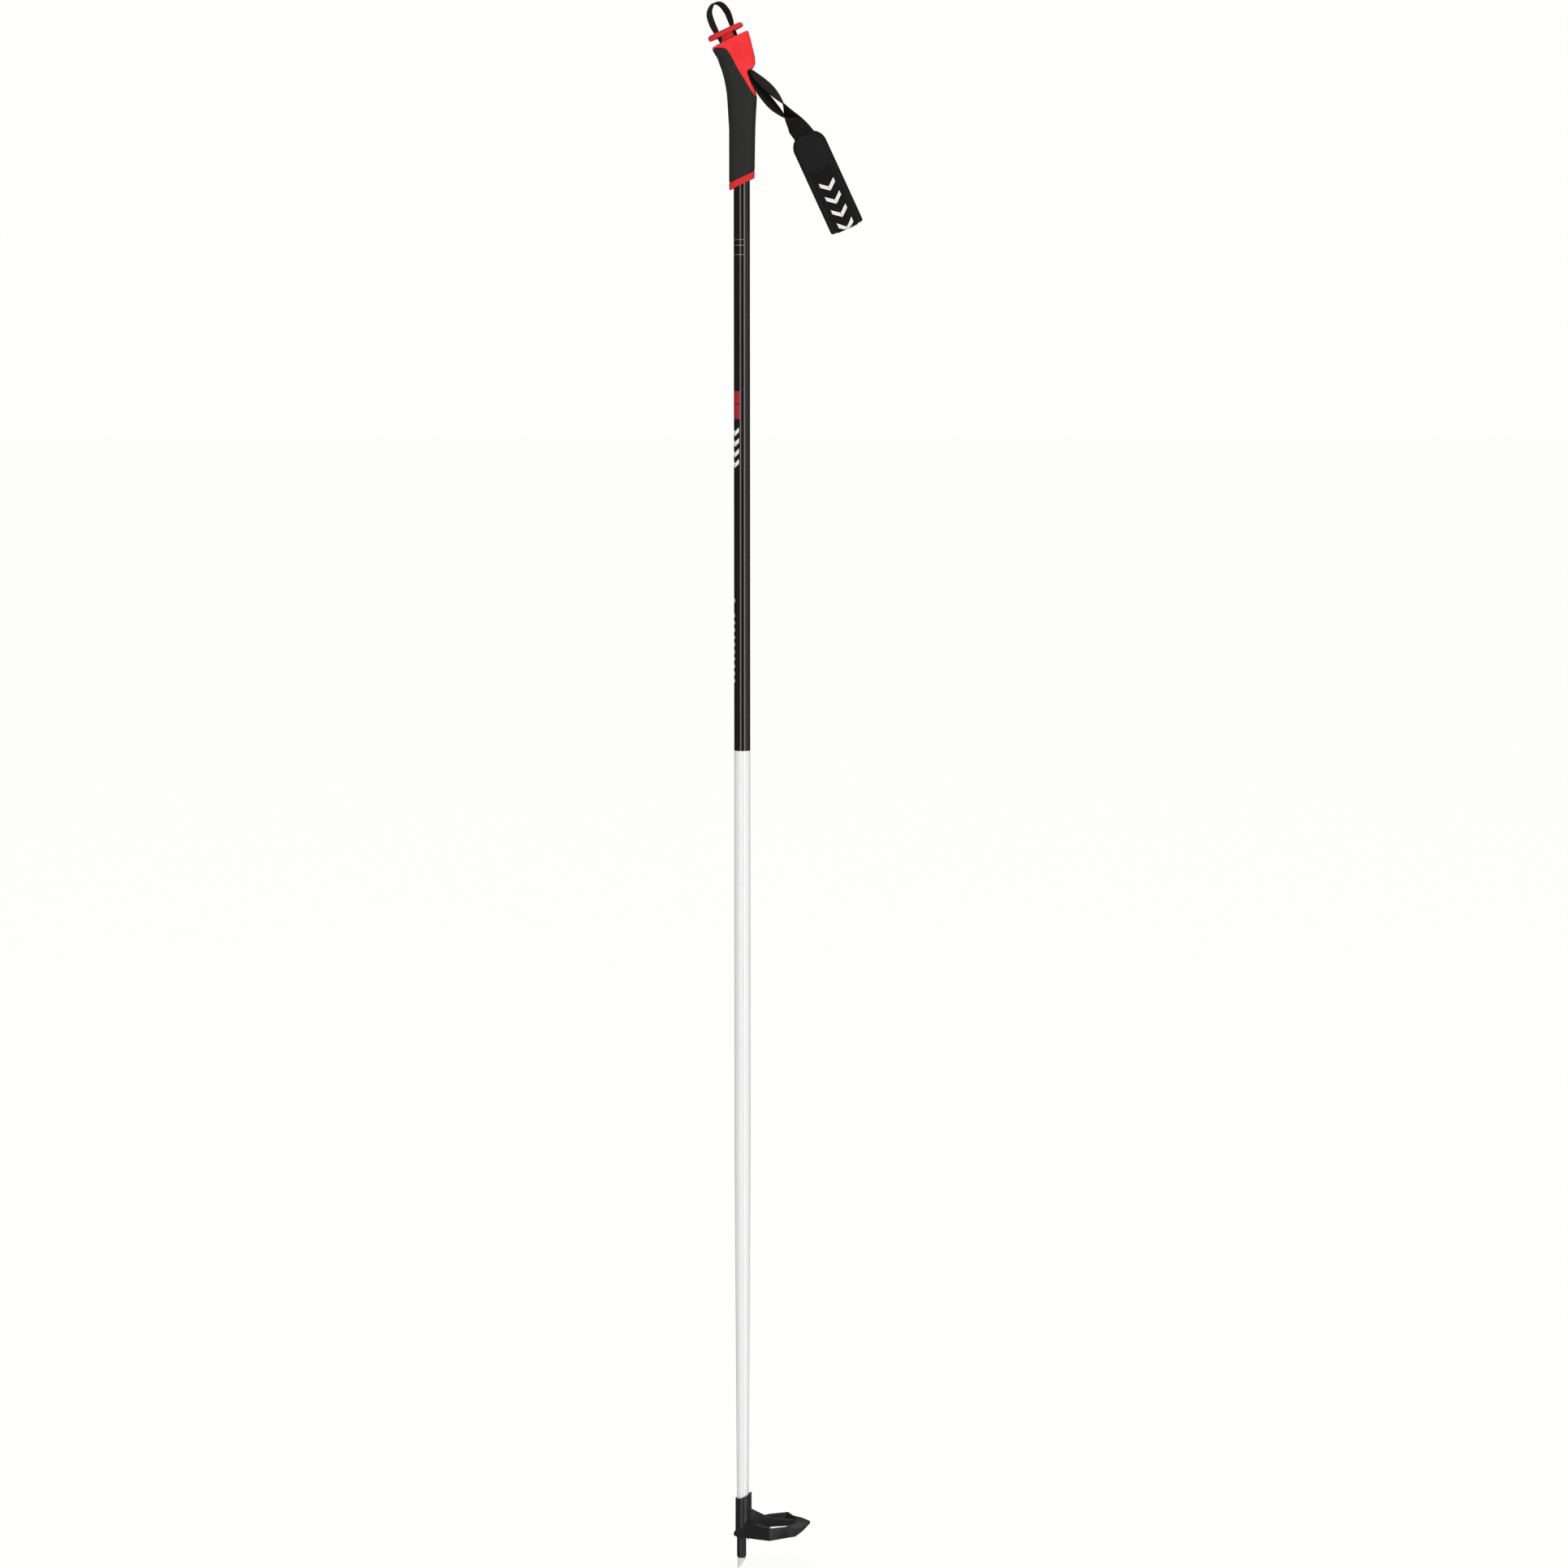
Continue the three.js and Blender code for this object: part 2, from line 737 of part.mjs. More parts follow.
function tipSpike() {
  const { shankRadius, shankTop, baseRadius, shoulder, baseFoot, tipX, tipRadius } = SPIKE;
  const cone = new THREE.CylinderGeometry(baseRadius, tipRadius, baseFoot, TUBE.sides);
  cone.rotateX(Math.PI / 2);
  cone.translate(0, 0, baseFoot / 2);
  const point = toSolid(
    reshaped(cone, (v) => {
      v.x += THREE.MathUtils.lerp(tipX, FERRULE.x, v.z / baseFoot);
    }),
  );
  const collar = rod(baseRadius, baseFoot, shoulder).translate([FERRULE.x, 0, 0]);
  const shank = rod(shankRadius, shoulder - 1, shankTop, SPIKE.sides).translate([FERRULE.x, 0, 0]);
  return point.add(collar).add(shank);
}

// ---- assembly -----------------------------------------------------------------------------------
const blank = gripBlank();
const skiPole = new THREE.Group();
const gripGlueFoot = GRIP.socketFoot + 5;
const gripGlueTop = GRIP.boreTop - 8;
const gripGlue = glueSleeve(gripGlueFoot, gripGlueTop, TUBE.radius, TUBE.radius, GLUE.gripThickness);
const glueFoot = TUBE.bottom + 2;
const glueTop = BASKET.hubTopFront - 3;
skiPole.add(
  part("shaft_tube", shaftTube(), FINISH.tube),
  part("grip_glue", gripGlue, FINISH.glue),
  part(
    "basket_glue",
    glueSleeve(glueFoot, glueTop, tubeRadiusAt(glueFoot), tubeRadiusAt(glueTop), GLUE.basketThickness),
    FINISH.glue,
  ),
  part("grip_core", gripCore(blank), FINISH.red),
  part("grip_sleeve", gripSleeve(blank), FINISH.rubber),
  part("grip_end_ring", gripEndRing(blank), FINISH.red),
  part("channel_webbing_front", channelWebbing(-CHANNEL.wall, THROAT_FRONT, 1), FINISH.webbing),
  part("channel_webbing_rear", channelWebbing(CHANNEL.wall, THROAT_REAR, -1), FINISH.webbing),
  part("basket", basket(), FINISH.basket),
  part("tip_ferrule", tipFerrule(), FINISH.basket),
  part("tip_spike", tipSpike(), FINISH.steel),
  part("strap_strand_upper", strandUpper(), FINISH.webbing),
  part("strap_strand_lower", strandLower(), FINISH.webbing),
);

const wedge = new THREE.Group();
wedge.position.set(WEDGE.x, 0, WEDGE.z);
wedge.rotation.y = -SLANT;
wedge.add(part("strap_wedge", strapWedge(), FINISH.red), part("pull_loop", pullLoop(), FINISH.webbing));

const pad = new THREE.Group();
pad.position.set(PAD.x, 0, PAD.z);
pad.rotation.y = -PAD.lean;
pad.add(
  part("pad_band", padBand(), FINISH.padFabric),
  part("pad_lining", padLining(), FINISH.padFabric),
  part("pad_tape", padTape(), FINISH.tape),
  part("pad_binding_front", padBinding(-1), FINISH.webbing),
  part("pad_binding_rear", padBinding(1), FINISH.webbing),
  part("pad_cover_near", padCover(-1), FINISH.padFabric),
  part("pad_cover_far", padCover(1), FINISH.padFabric),
);
skiPole.add(wedge, pad);

export default skiPole;
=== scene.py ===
"""The looks of a cross-country touring ski pole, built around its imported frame.

Every size is in millimetres until a mesh is made, +Z runs up the tube and +X is the rear of the grip,
the side that the wrist strap leaves from. The near side of the pole faces -Y.
"""

import logging
import math
from dataclasses import dataclass, field
from enum import Enum
from typing import Callable, Sequence

import bmesh
import bpy
import numpy as np
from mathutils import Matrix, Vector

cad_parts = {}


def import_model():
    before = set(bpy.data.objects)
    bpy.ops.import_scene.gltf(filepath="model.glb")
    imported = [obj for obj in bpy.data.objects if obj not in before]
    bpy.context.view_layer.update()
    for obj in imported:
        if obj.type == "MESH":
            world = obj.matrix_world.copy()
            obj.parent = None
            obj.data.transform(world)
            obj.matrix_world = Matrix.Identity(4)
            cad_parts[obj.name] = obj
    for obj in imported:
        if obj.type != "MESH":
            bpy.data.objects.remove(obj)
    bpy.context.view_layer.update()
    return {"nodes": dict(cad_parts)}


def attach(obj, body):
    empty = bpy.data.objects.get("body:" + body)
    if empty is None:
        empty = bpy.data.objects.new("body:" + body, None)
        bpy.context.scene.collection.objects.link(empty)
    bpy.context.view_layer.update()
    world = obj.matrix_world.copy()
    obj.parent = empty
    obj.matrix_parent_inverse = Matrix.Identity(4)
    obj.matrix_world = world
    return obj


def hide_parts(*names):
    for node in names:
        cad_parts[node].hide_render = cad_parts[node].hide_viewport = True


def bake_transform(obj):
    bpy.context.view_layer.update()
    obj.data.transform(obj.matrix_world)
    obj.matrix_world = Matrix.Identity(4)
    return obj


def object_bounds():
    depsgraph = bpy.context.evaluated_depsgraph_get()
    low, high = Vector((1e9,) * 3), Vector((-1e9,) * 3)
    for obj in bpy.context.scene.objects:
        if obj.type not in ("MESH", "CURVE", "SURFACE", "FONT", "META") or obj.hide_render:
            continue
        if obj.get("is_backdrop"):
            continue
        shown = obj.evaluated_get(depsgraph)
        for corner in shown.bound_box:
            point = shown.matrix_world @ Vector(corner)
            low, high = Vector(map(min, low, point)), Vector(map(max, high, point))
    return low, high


LOG = logging.getLogger("ski_pole")
MM = 0.001
Colour = tuple[float, float, float]
Value = "Signal | float | Colour"
Point = tuple[float, float]
Lay = Callable[[np.ndarray, np.ndarray, float], np.ndarray]
Width = Callable[[np.ndarray], np.ndarray]


class Body(Enum):
    """The bodies that pieces ride on."""

    POLE = "pole"
    WEDGE = "wedge"
    WEBBING = "strap_webbing"
    PAD = "wrist_pad"


class Slot(Enum):
    """The record's material slots."""

    SHAFT_WHITE = "shaft_white"
    SHAFT_BLACK = "shaft_black"
    GLUE = "hot_glue"
    RED = "red_plastic"
    RUBBER = "grip_rubber"
    WEBBING = "webbing"
    FABRIC = "pad_fabric"
    LINING = "pad_lining"
    TAPE = "printed_tape"
    BASKET = "basket_plastic"
    STEEL = "spike_steel"
    PRINT_WHITE = "print_white"
    PRINT_RED = "print_red"
    PRINT_SILVER = "print_silver"
    THREAD = "thread"


class Side(Enum):
    """The two faces of a piece that is alike on both."""

    NEAR = -1
    FAR = 1


# ---- shader maths ---------------------------------------------------------------------------------
class Signal:
    """One output of a shader node, which takes part in Python arithmetic."""

    def __init__(self, graph: "Graph", socket: bpy.types.NodeSocket) -> None:
        """Keeps the graph and the output socket."""
        self.graph = graph
        self.socket = socket

    def __add__(self, other: Value) -> "Signal":
        """This plus other."""
        return self.graph.maths("ADD", self, other)

    __radd__ = __add__

    def __mul__(self, other: Value) -> "Signal":
        """This times other."""
        return self.graph.maths("MULTIPLY", self, other)

    __rmul__ = __mul__

    def __sub__(self, other: Value) -> "Signal":
        """This less other."""
        return self.graph.maths("SUBTRACT", self, other)

    def __rsub__(self, other: Value) -> "Signal":
        """Other less this."""
        return self.graph.maths("SUBTRACT", other, self)

    def __truediv__(self, other: Value) -> "Signal":
        """This over other."""
        return self.graph.maths("DIVIDE", self, other)

    def __pow__(self, other: Value) -> "Signal":
        """This to the power of other."""
        return self.graph.maths("POWER", self, other)

    def between(self, low: float, high: float) -> "Signal":
        """0 below low, 1 above high, smooth between them."""
        limits = {"From Min": low, "From Max": high, "Value": self}
        node = self.graph.node("ShaderNodeMapRange", {"interpolation_type": "SMOOTHSTEP"}, limits)
        return Signal(self.graph, node.outputs["Result"])

    def wave(self) -> "Signal":
        """A sine of this, from 0 to 1."""
        return self.graph.maths("SINE", self) * 0.5 + 0.5

    def rounded(self) -> "Signal":
        """The distance from the nearest whole number, from 0 to 0.5."""
        return self.graph.maths("PINGPONG", self, 0.5)


class Graph:
    """The node tree of one material or of the world."""

    def __init__(self, tree: bpy.types.NodeTree) -> None:
        """Empties the tree."""
        self.tree = tree
        tree.nodes.clear()

    def node(self, kind: str, settings: dict | None = None, sockets: dict | None = None) -> bpy.types.Node:
        """Adds a node.

        Args:
            kind: The node's type.
            settings: Its properties, set first.
            sockets: The value or the Signal of each input, by name or by number.

        Returns:
            The new node.
        """
        made = self.tree.nodes.new(kind)
        for name, value in (settings or {}).items():
            setattr(made, name, value)
        for name, value in (sockets or {}).items():
            entry = made.inputs[name]
            if isinstance(value, Signal):
                self.tree.links.new(value.socket, entry)
            elif isinstance(value, tuple) and len(value) == 3 and entry.type == "RGBA":
                entry.default_value = (*value, 1)
            else:
                entry.default_value = value
        return made

    def maths(self, operation: str, *values: Value) -> Signal:
        """A Math node's result on one, two or three values."""
        made = self.node("ShaderNodeMath", {"operation": operation}, dict(enumerate(values)))
        return Signal(self, made.outputs[0])

    def place(self) -> Signal:
        """The point's place in the piece's own coordinates, in millimetres, as a vector."""
        made = self.node("ShaderNodeTexCoord")
        point = Signal(self, made.outputs["Object"])
        scaled = self.node("ShaderNodeVectorMath", {"operation": "SCALE"}, {0: point, "Scale": 1 / MM})
        return Signal(self, scaled.outputs[0])

    def weave(self) -> Signal:
        """The stored (along, across, side) of a woven piece, in millimetres."""
        made = self.node("ShaderNodeAttribute", {"attribute_name": Shell.WEAVE})
        return Signal(self, made.outputs["Vector"])

    def axes(self, vector: Signal) -> tuple[Signal, Signal, Signal]:
        """A vector's three numbers."""
        made = self.node("ShaderNodeSeparateXYZ", None, {0: vector})
        return tuple(Signal(self, made.outputs[i]) for i in range(3))

    def noise(self, place: Signal, size: float, detail: float = 2.0) -> Signal:
        """Soft random blotches from 0 to 1.

        Args:
            place: A vector in millimetres.
            size: The blotches' size in millimetres.
            detail: How many finer layers they hold.

        Returns:
            The blotches.
        """
        sockets = {"Vector": place, "Scale": 1 / size, "Detail": detail}
        made = self.node("ShaderNodeTexNoise", None, sockets)
        return Signal(self, made.outputs["Fac"])

    def cells(self, place: Signal, size: float) -> Signal:
        """Pebbles of the given size in millimetres: the distance from each one's middle."""
        made = self.node("ShaderNodeTexVoronoi", None, {"Vector": place, "Scale": 1 / size})
        return Signal(self, made.outputs["Distance"])

    def stretched(self, place: Signal, scale: Colour) -> Signal:
        """A place with each axis multiplied."""
        made = self.node("ShaderNodeVectorMath", {"operation": "MULTIPLY"}, {0: place, 1: scale})
        return Signal(self, made.outputs[0])

    def mixed(self, share: Value, low: Value, high: Value) -> Signal:
        """A colour between low and high."""
        settings = {"data_type": "RGBA"}
        made = self.node("ShaderNodeMix", settings, {0: share, 6: low, 7: high})
        return Signal(self, made.outputs[2])

    def bump(self, height: Signal, depth: float, strength: float = 1.0) -> Signal:
        """A surface normal from a height of 0 to 1.

        Args:
            height: The height.
            depth: What a height of 1 stands for, in millimetres.
            strength: How much of it shows.

        Returns:
            The normal.
        """
        sockets = {"Height": height, "Distance": depth * MM, "Strength": strength}
        made = self.node("ShaderNodeBump", None, sockets)
        return Signal(self, made.outputs["Normal"])


# ---- finishes -------------------------------------------------------------------------------------
@dataclass(frozen=True)
class Finish:
    """What every finish has: a name, a material slot and a base colour."""

    name: str
    slot: Slot
    colour: Colour
    roughness: float = 0.5

    def shade(self, graph: Graph) -> dict:
        """The values of the shader's sockets; each finish has its own."""
        raise NotImplementedError

    def material(self) -> bpy.types.Material:
        """The finish's one material, made when it is first asked for."""
        name = f"finish_{self.name}"
        found = bpy.data.materials.get(name)
        if found:
            return found
        made = bpy.data.materials.new(name)
        made.use_nodes = True
        graph = Graph(made.node_tree)
        shader = graph.node("ShaderNodeBsdfPrincipled", None, self.shade(graph))
        surface = Signal(graph, shader.outputs["BSDF"])
        graph.node("ShaderNodeOutputMaterial", None, {"Surface": surface})
        made.diffuse_color = (*self.colour, 1)
        return made


@dataclass(frozen=True)
class Lacquer(Finish):
    """Glossy paint on the alloy tube, with a faint ripple, dust nibs and rubbed patches."""

    metallic: float = 0.0
    tint: Colour = (0.0, 0.0, 0.0)
    scuff: float = 0.03

    def shade(self, graph: Graph) -> dict:
        """Colour streaks along the tube, a clear coat and fine flow ripples."""
        place = graph.place()
        streaks = graph.noise(graph.stretched(place, (1, 1, 0.04)), 3.0)
        nibs = graph.noise(place, 0.5, 1.0)
        rubbed = graph.noise(graph.stretched(place, (1, 1, 0.15)), 16.0, 5.0).between(0.58, 0.8)
        return {
            "Base Color": graph.mixed(streaks, self.colour, self.tint),
            "Roughness": self.roughness + nibs * 0.04 + rubbed * self.scuff,
            "Metallic": self.metallic,
            "Coat Weight": 0.6,
            "Coat Roughness": 0.06,
            "Normal": graph.bump(streaks * 0.7 + nibs * 0.3, 0.012),
        }


@dataclass(frozen=True)
class Moulding(Finish):
    """Moulded plastic or rubber: a spark-eroded grain, flow marks and rubbed places."""

    deep: Colour = (0.0, 0.0, 0.0)
    grain: float = 0.35
    depth: float = 0.03
    specular: float = 0.5

    def shade(self, graph: Graph) -> dict:
        """Pebble grain over slow tone changes, smoother where hands rub it."""
        place = graph.place()
        pebbles = graph.cells(place, self.grain)
        flow = graph.noise(place, 14.0, 3.0)
        speck = graph.noise(place, 0.9, 3.0)
        rubbed = flow.between(0.52, 0.72)
        tone = flow * 0.6 + speck * 0.4
        return {
            "Base Color": graph.mixed(tone, self.deep, self.colour),
            "Roughness": self.roughness + speck * 0.1 - rubbed * 0.06,
            "Specular IOR Level": self.specular,
            "Normal": graph.bump(pebbles * (1 - rubbed * 0.4), self.depth),
        }


@dataclass(frozen=True)
class Woven(Finish):
    """Webbing or tape: warp cords along it, picks across it and stray fibres."""

    thread: Colour = (0.05, 0.05, 0.05)
    cord: float = 1.25
    pick: float = 0.8
    depth: float = 0.16
    stagger: float = 0.5

    def shade(self, graph: Graph) -> dict:
        """A twilled basket of warp cords and picks, darker between them."""
        weave = graph.weave()
        along, across, _ = graph.axes(weave)
        lane = across / self.cord
        shift = graph.maths("FLOOR", lane) * self.stagger
        cord = 1 - 2 * (lane - 0.5).rounded()
        pick = 1 - 2 * (along / self.pick + shift).rounded()
        fuzz = graph.noise(graph.stretched(weave, (1.0, 3.0, 1.0)), 0.6, 3.0)
        crown = (1 - cord ** 2.2) * (0.45 + 0.55 * (1 - pick ** 2.0))
        worn = graph.noise(weave, 9.0, 2.0)
        tone = crown * 0.75 + fuzz * 0.25
        return {
            "Base Color": graph.mixed(tone * (0.75 + 0.5 * worn), self.colour, self.thread),
            "Roughness": self.roughness + fuzz * 0.12,
            "Sheen Weight": 0.02,
            "Sheen Roughness": 0.5,
            "Specular IOR Level": 0.08,
            "Normal": graph.bump(crown * 0.85 + fuzz * 0.15, self.depth),
        }


@dataclass(frozen=True)
class Knit(Finish):
    """The pad's brushed knit: fine ribs of stitches with a soft nap."""

    thread: Colour = (0.05, 0.05, 0.05)
    wale: float = 0.7
    depth: float = 0.09

    def shade(self, graph: Graph) -> dict:
        """Rows of small loops, blotched by the nap."""
        weave = graph.weave()
        along, across, _ = graph.axes(weave)
        nap = graph.noise(weave, 0.8, 3.0)
        cloud = graph.noise(weave, 7.0, 3.0)
        rib = (across * (2 * math.pi / self.wale) + nap * 2.0).wave()
        loop = (along * (2 * math.pi / self.wale) + rib * 1.6).wave()
        height = rib * 0.5 + loop * 0.3 + nap * 0.2
        return {
            "Base Color": graph.mixed(height * (0.6 + 0.7 * cloud), self.colour, self.thread),
            "Roughness": self.roughness - cloud * 0.1,
            "Sheen Weight": 0.02,
            "Sheen Roughness": 0.45,
            "Specular IOR Level": 0.08,
            "Normal": graph.bump(height, self.depth),
        }


@dataclass(frozen=True)
class Metal(Finish):
    """Turned and hardened steel: lathe lines round it and dull wear at its point."""

    worn: Colour = (0.4, 0.4, 0.4)
    line: float = 0.22

    def shade(self, graph: Graph) -> dict:
        """Rings of tool marks, with darker dull spots."""
        place = graph.place()
        _, _, height = graph.axes(place)
        wobble = graph.noise(place, 2.5, 3.0)
        rings = (height * (2 * math.pi / self.line) + wobble * 3.0).wave()
        wear = graph.noise(place, 1.4, 4.0).between(0.4, 0.75)
        return {
            "Base Color": graph.mixed(wear, self.colour, self.worn),
            "Metallic": 0.15,
            "Roughness": self.roughness + wear * 0.18 + rings * 0.05,
            "Normal": graph.bump(rings, 0.012),
        }


@dataclass(frozen=True)
class Print(Finish):
    """A screen-printed film: slightly uneven ink, thin in places."""

    thin: Colour = (0.5, 0.5, 0.5)
    metallic: float = 0.0

    def shade(self, graph: Graph) -> dict:
        """Ink with a mesh of fine dots and softer blotches."""
        place = graph.place()
        blotch = graph.noise(place, 2.0, 4.0)
        dots = graph.cells(place, 0.3)
        return {
            "Base Color": graph.mixed(blotch.between(0.62, 0.95), self.colour, self.thin),
            "Metallic": self.metallic,
            "Roughness": self.roughness + dots * 0.08,
            "Normal": graph.bump(dots, 0.01),
        }


@dataclass(frozen=True)
class Thread(Finish):
    """Sewing thread: two plies laid round each other."""

    def shade(self, graph: Graph) -> dict:
        """Slanted ply lines with a little fluff."""
        place = graph.place()
        x, y, z = graph.axes(place)
        plies = ((x + y + z) * (2 * math.pi / 0.45)).wave()
        fluff = graph.noise(place, 0.3, 2.0)
        pale = tuple(1.6 * c for c in self.colour)
        return {
            "Base Color": graph.mixed(plies * 0.6 + fluff * 0.4, self.colour, pale),
            "Roughness": self.roughness,
            "Specular IOR Level": 0.3,
            "Normal": graph.bump(plies, 0.04),
        }


@dataclass(frozen=True)
class HotGlue(Finish):
    """Hot-melt glue: milky, with trapped bubbles."""

    def shade(self, graph: Graph) -> dict:
        """A clouded amber with small pits."""
        place = graph.place()
        cloud = graph.noise(place, 5.0, 4.0)
        pits = graph.cells(place, 1.6).between(0.05, 0.3)
        dark = tuple(0.6 * c for c in self.colour)
        return {
            "Base Color": graph.mixed(cloud, dark, self.colour),
            "Roughness": self.roughness + cloud * 0.2,
            "Normal": graph.bump(pits, 0.1),
        }


@dataclass(frozen=True)
class Palette:
    """Every finish on the pole."""

    black_lacquer: Finish = Lacquer(
        "black_lacquer", Slot.SHAFT_BLACK, (0.005, 0.0036, 0.0026), 0.16, 0.2, (0.0095, 0.007, 0.0048)
    )
    white_lacquer: Finish = Lacquer(
        "white_lacquer", Slot.SHAFT_WHITE, (0.84, 0.84, 0.84), 0.22, 0.0, (0.8, 0.8, 0.8)
    )
    # A darker copy of the red plastic for the wedge cap and the end ring: painted shade, standing in for
    # the shade those parts sit in.
    red_painted_shade: Finish = Moulding(
        "red_plastic_painted_shade", Slot.RED, (0.64, 0.028, 0.031), 0.52, (0.58, 0.023, 0.026), 0.4, 0.02, 0.15
    )
    red: Finish = Moulding(
        "red_plastic", Slot.RED, (0.88, 0.035, 0.041), 0.52, (0.8, 0.028, 0.034), 0.4, 0.02, 0.15
    )
    rubber: Finish = Moulding(
        "grip_rubber", Slot.RUBBER, (0.024, 0.024, 0.023), 0.6, (0.0185, 0.0185, 0.0178), 0.5, 0.06, 0.13
    )
    webbing: Finish = Woven("webbing", Slot.WEBBING, (0.005, 0.0042, 0.0036), 0.75, (0.017, 0.0145, 0.013))
    binding: Finish = Woven(
        "edge_binding", Slot.WEBBING, (0.004, 0.004, 0.004), 0.78, (0.014, 0.014, 0.0135), 0.7, 0.45, 0.08
    )
    tape: Finish = Woven(
        "printed_tape", Slot.TAPE, (0.0045, 0.0042, 0.003), 0.75, (0.012, 0.0115, 0.0085), 0.55, 0.9, 0.07
    )
    fabric: Finish = Knit("pad_fabric", Slot.FABRIC, (0.0065, 0.0065, 0.007), 0.88, (0.02, 0.02, 0.021))
    lining: Finish = Knit(
        "pad_lining", Slot.LINING, (0.012, 0.012, 0.012), 0.9, (0.036, 0.036, 0.036), 1.1, 0.14
    )
    basket: Finish = Moulding(
        "basket_plastic", Slot.BASKET, (0.0125, 0.0123, 0.0127), 0.34,
        (0.0075, 0.0075, 0.0077), 0.45, 0.016, 0.5,
    )
    steel: Finish = Metal("spike_steel", Slot.STEEL, (0.78, 0.78, 0.77), 0.42, (0.68, 0.68, 0.67))
    print_white: Finish = Print(
        "print_white", Slot.PRINT_WHITE, (0.86, 0.86, 0.83), 0.45, (0.55, 0.55, 0.53)
    )
    print_red: Finish = Print(
        "print_red", Slot.PRINT_RED, (0.34, 0.016, 0.022), 0.3, (0.2, 0.012, 0.016)
    )
    print_silver: Finish = Print(
        "print_silver", Slot.PRINT_SILVER, (0.33, 0.32, 0.3), 0.3, (0.18, 0.17, 0.16), 0.7
    )
    thread: Finish = Thread("thread", Slot.THREAD, (0.022, 0.022, 0.022), 0.7)
    glue: Finish = HotGlue("hot_glue", Slot.GLUE, (0.7, 0.62, 0.4), 0.4)


# ---- curves and meshes ----------------------------------------------------------------------------
class Smooth:
    """A value that runs smoothly through rows of (place, value, ...), and never overshoots them."""

    def __init__(self, rows: Sequence[Sequence[float]]) -> None:
        """Works out the slope at each row from the slopes on both sides of it."""
        table = np.array(rows, float)
        self.places = table[:, 0]
        self.values = table[:, 1:]
        gaps = np.diff(self.places)[:, None]
        rises = np.diff(self.values, axis=0) / gaps
        self.slopes = np.zeros_like(self.values)
        self.slopes[0] = rises[0]
        self.slopes[-1] = rises[-1]
        same = rises[:-1] * rises[1:] > 0
        mean = 2 * rises[:-1] * rises[1:] / np.where(same, rises[:-1] + rises[1:], 1)
        self.slopes[1:-1] = np.where(same, mean, 0)

    def __call__(self, place: np.ndarray) -> np.ndarray:
        """The values at each place, one row for each."""
        place = np.clip(np.atleast_1d(np.asarray(place, float)), self.places[0], self.places[-1])
        low = np.clip(np.searchsorted(self.places, place, side="right") - 1, 0, len(self.places) - 2)
        gap = (self.places[low + 1] - self.places[low])[:, None]
        t = (place - self.places[low])[:, None] / gap
        start = self.values[low] * (1 + 2 * t) * (1 - t) ** 2 + self.slopes[low] * gap * t * (1 - t) ** 2
        end = self.values[low + 1] * t * t * (3 - 2 * t) - self.slopes[low + 1] * gap * t * t * (1 - t)
        return start + end


def soft_min(first: np.ndarray, second: np.ndarray, radius: float) -> np.ndarray:
    """The smaller of two numbers, with the corner between them rounded off."""
    share = np.clip(0.5 + 0.5 * (second - first) / radius, 0, 1)
    return second * (1 - share) + first * share - radius * share * (1 - share)


def squared(value: np.ndarray, roundness: float) -> np.ndarray:
    """A cosine or sine bent to the super-ellipse of that roundness."""
    return np.sign(value) * np.abs(value) ** (2 / roundness)


def eased(place: np.ndarray, low: float, high: float) -> np.ndarray:
    """0 below low, 1 above high, smooth between them."""
    t = np.clip((np.asarray(place, float) - low) / (high - low), 0, 1)
    return t * t * (3 - 2 * t)


def circle(steps: int) -> np.ndarray:
    """Angles round a full turn."""
    return np.arange(steps) * (2 * math.pi / steps)


def rolled(distance: np.ndarray | float, radius: float) -> np.ndarray:
    """How far a rounded edge stands back at a distance from the edge."""
    over = np.clip(radius - distance, 0, radius)
    return radius - np.sqrt(radius**2 - over**2)


def round_rows(profile: Sequence[tuple[float, float, float]], sides: int) -> np.ndarray:
    """Level round loops of points, given as (radius, height, x of the middle)."""
    x, y = np.cos(circle(sides)), np.sin(circle(sides))
    return np.array([np.stack([at + r * x, r * y, np.full(sides, z)], 1) for r, z, at in profile])


def distances(points: np.ndarray) -> np.ndarray:
    """How far each point of a line is from its start, along the line."""
    return np.concatenate([[0], np.cumsum(np.linalg.norm(np.diff(points, axis=0), axis=1))])


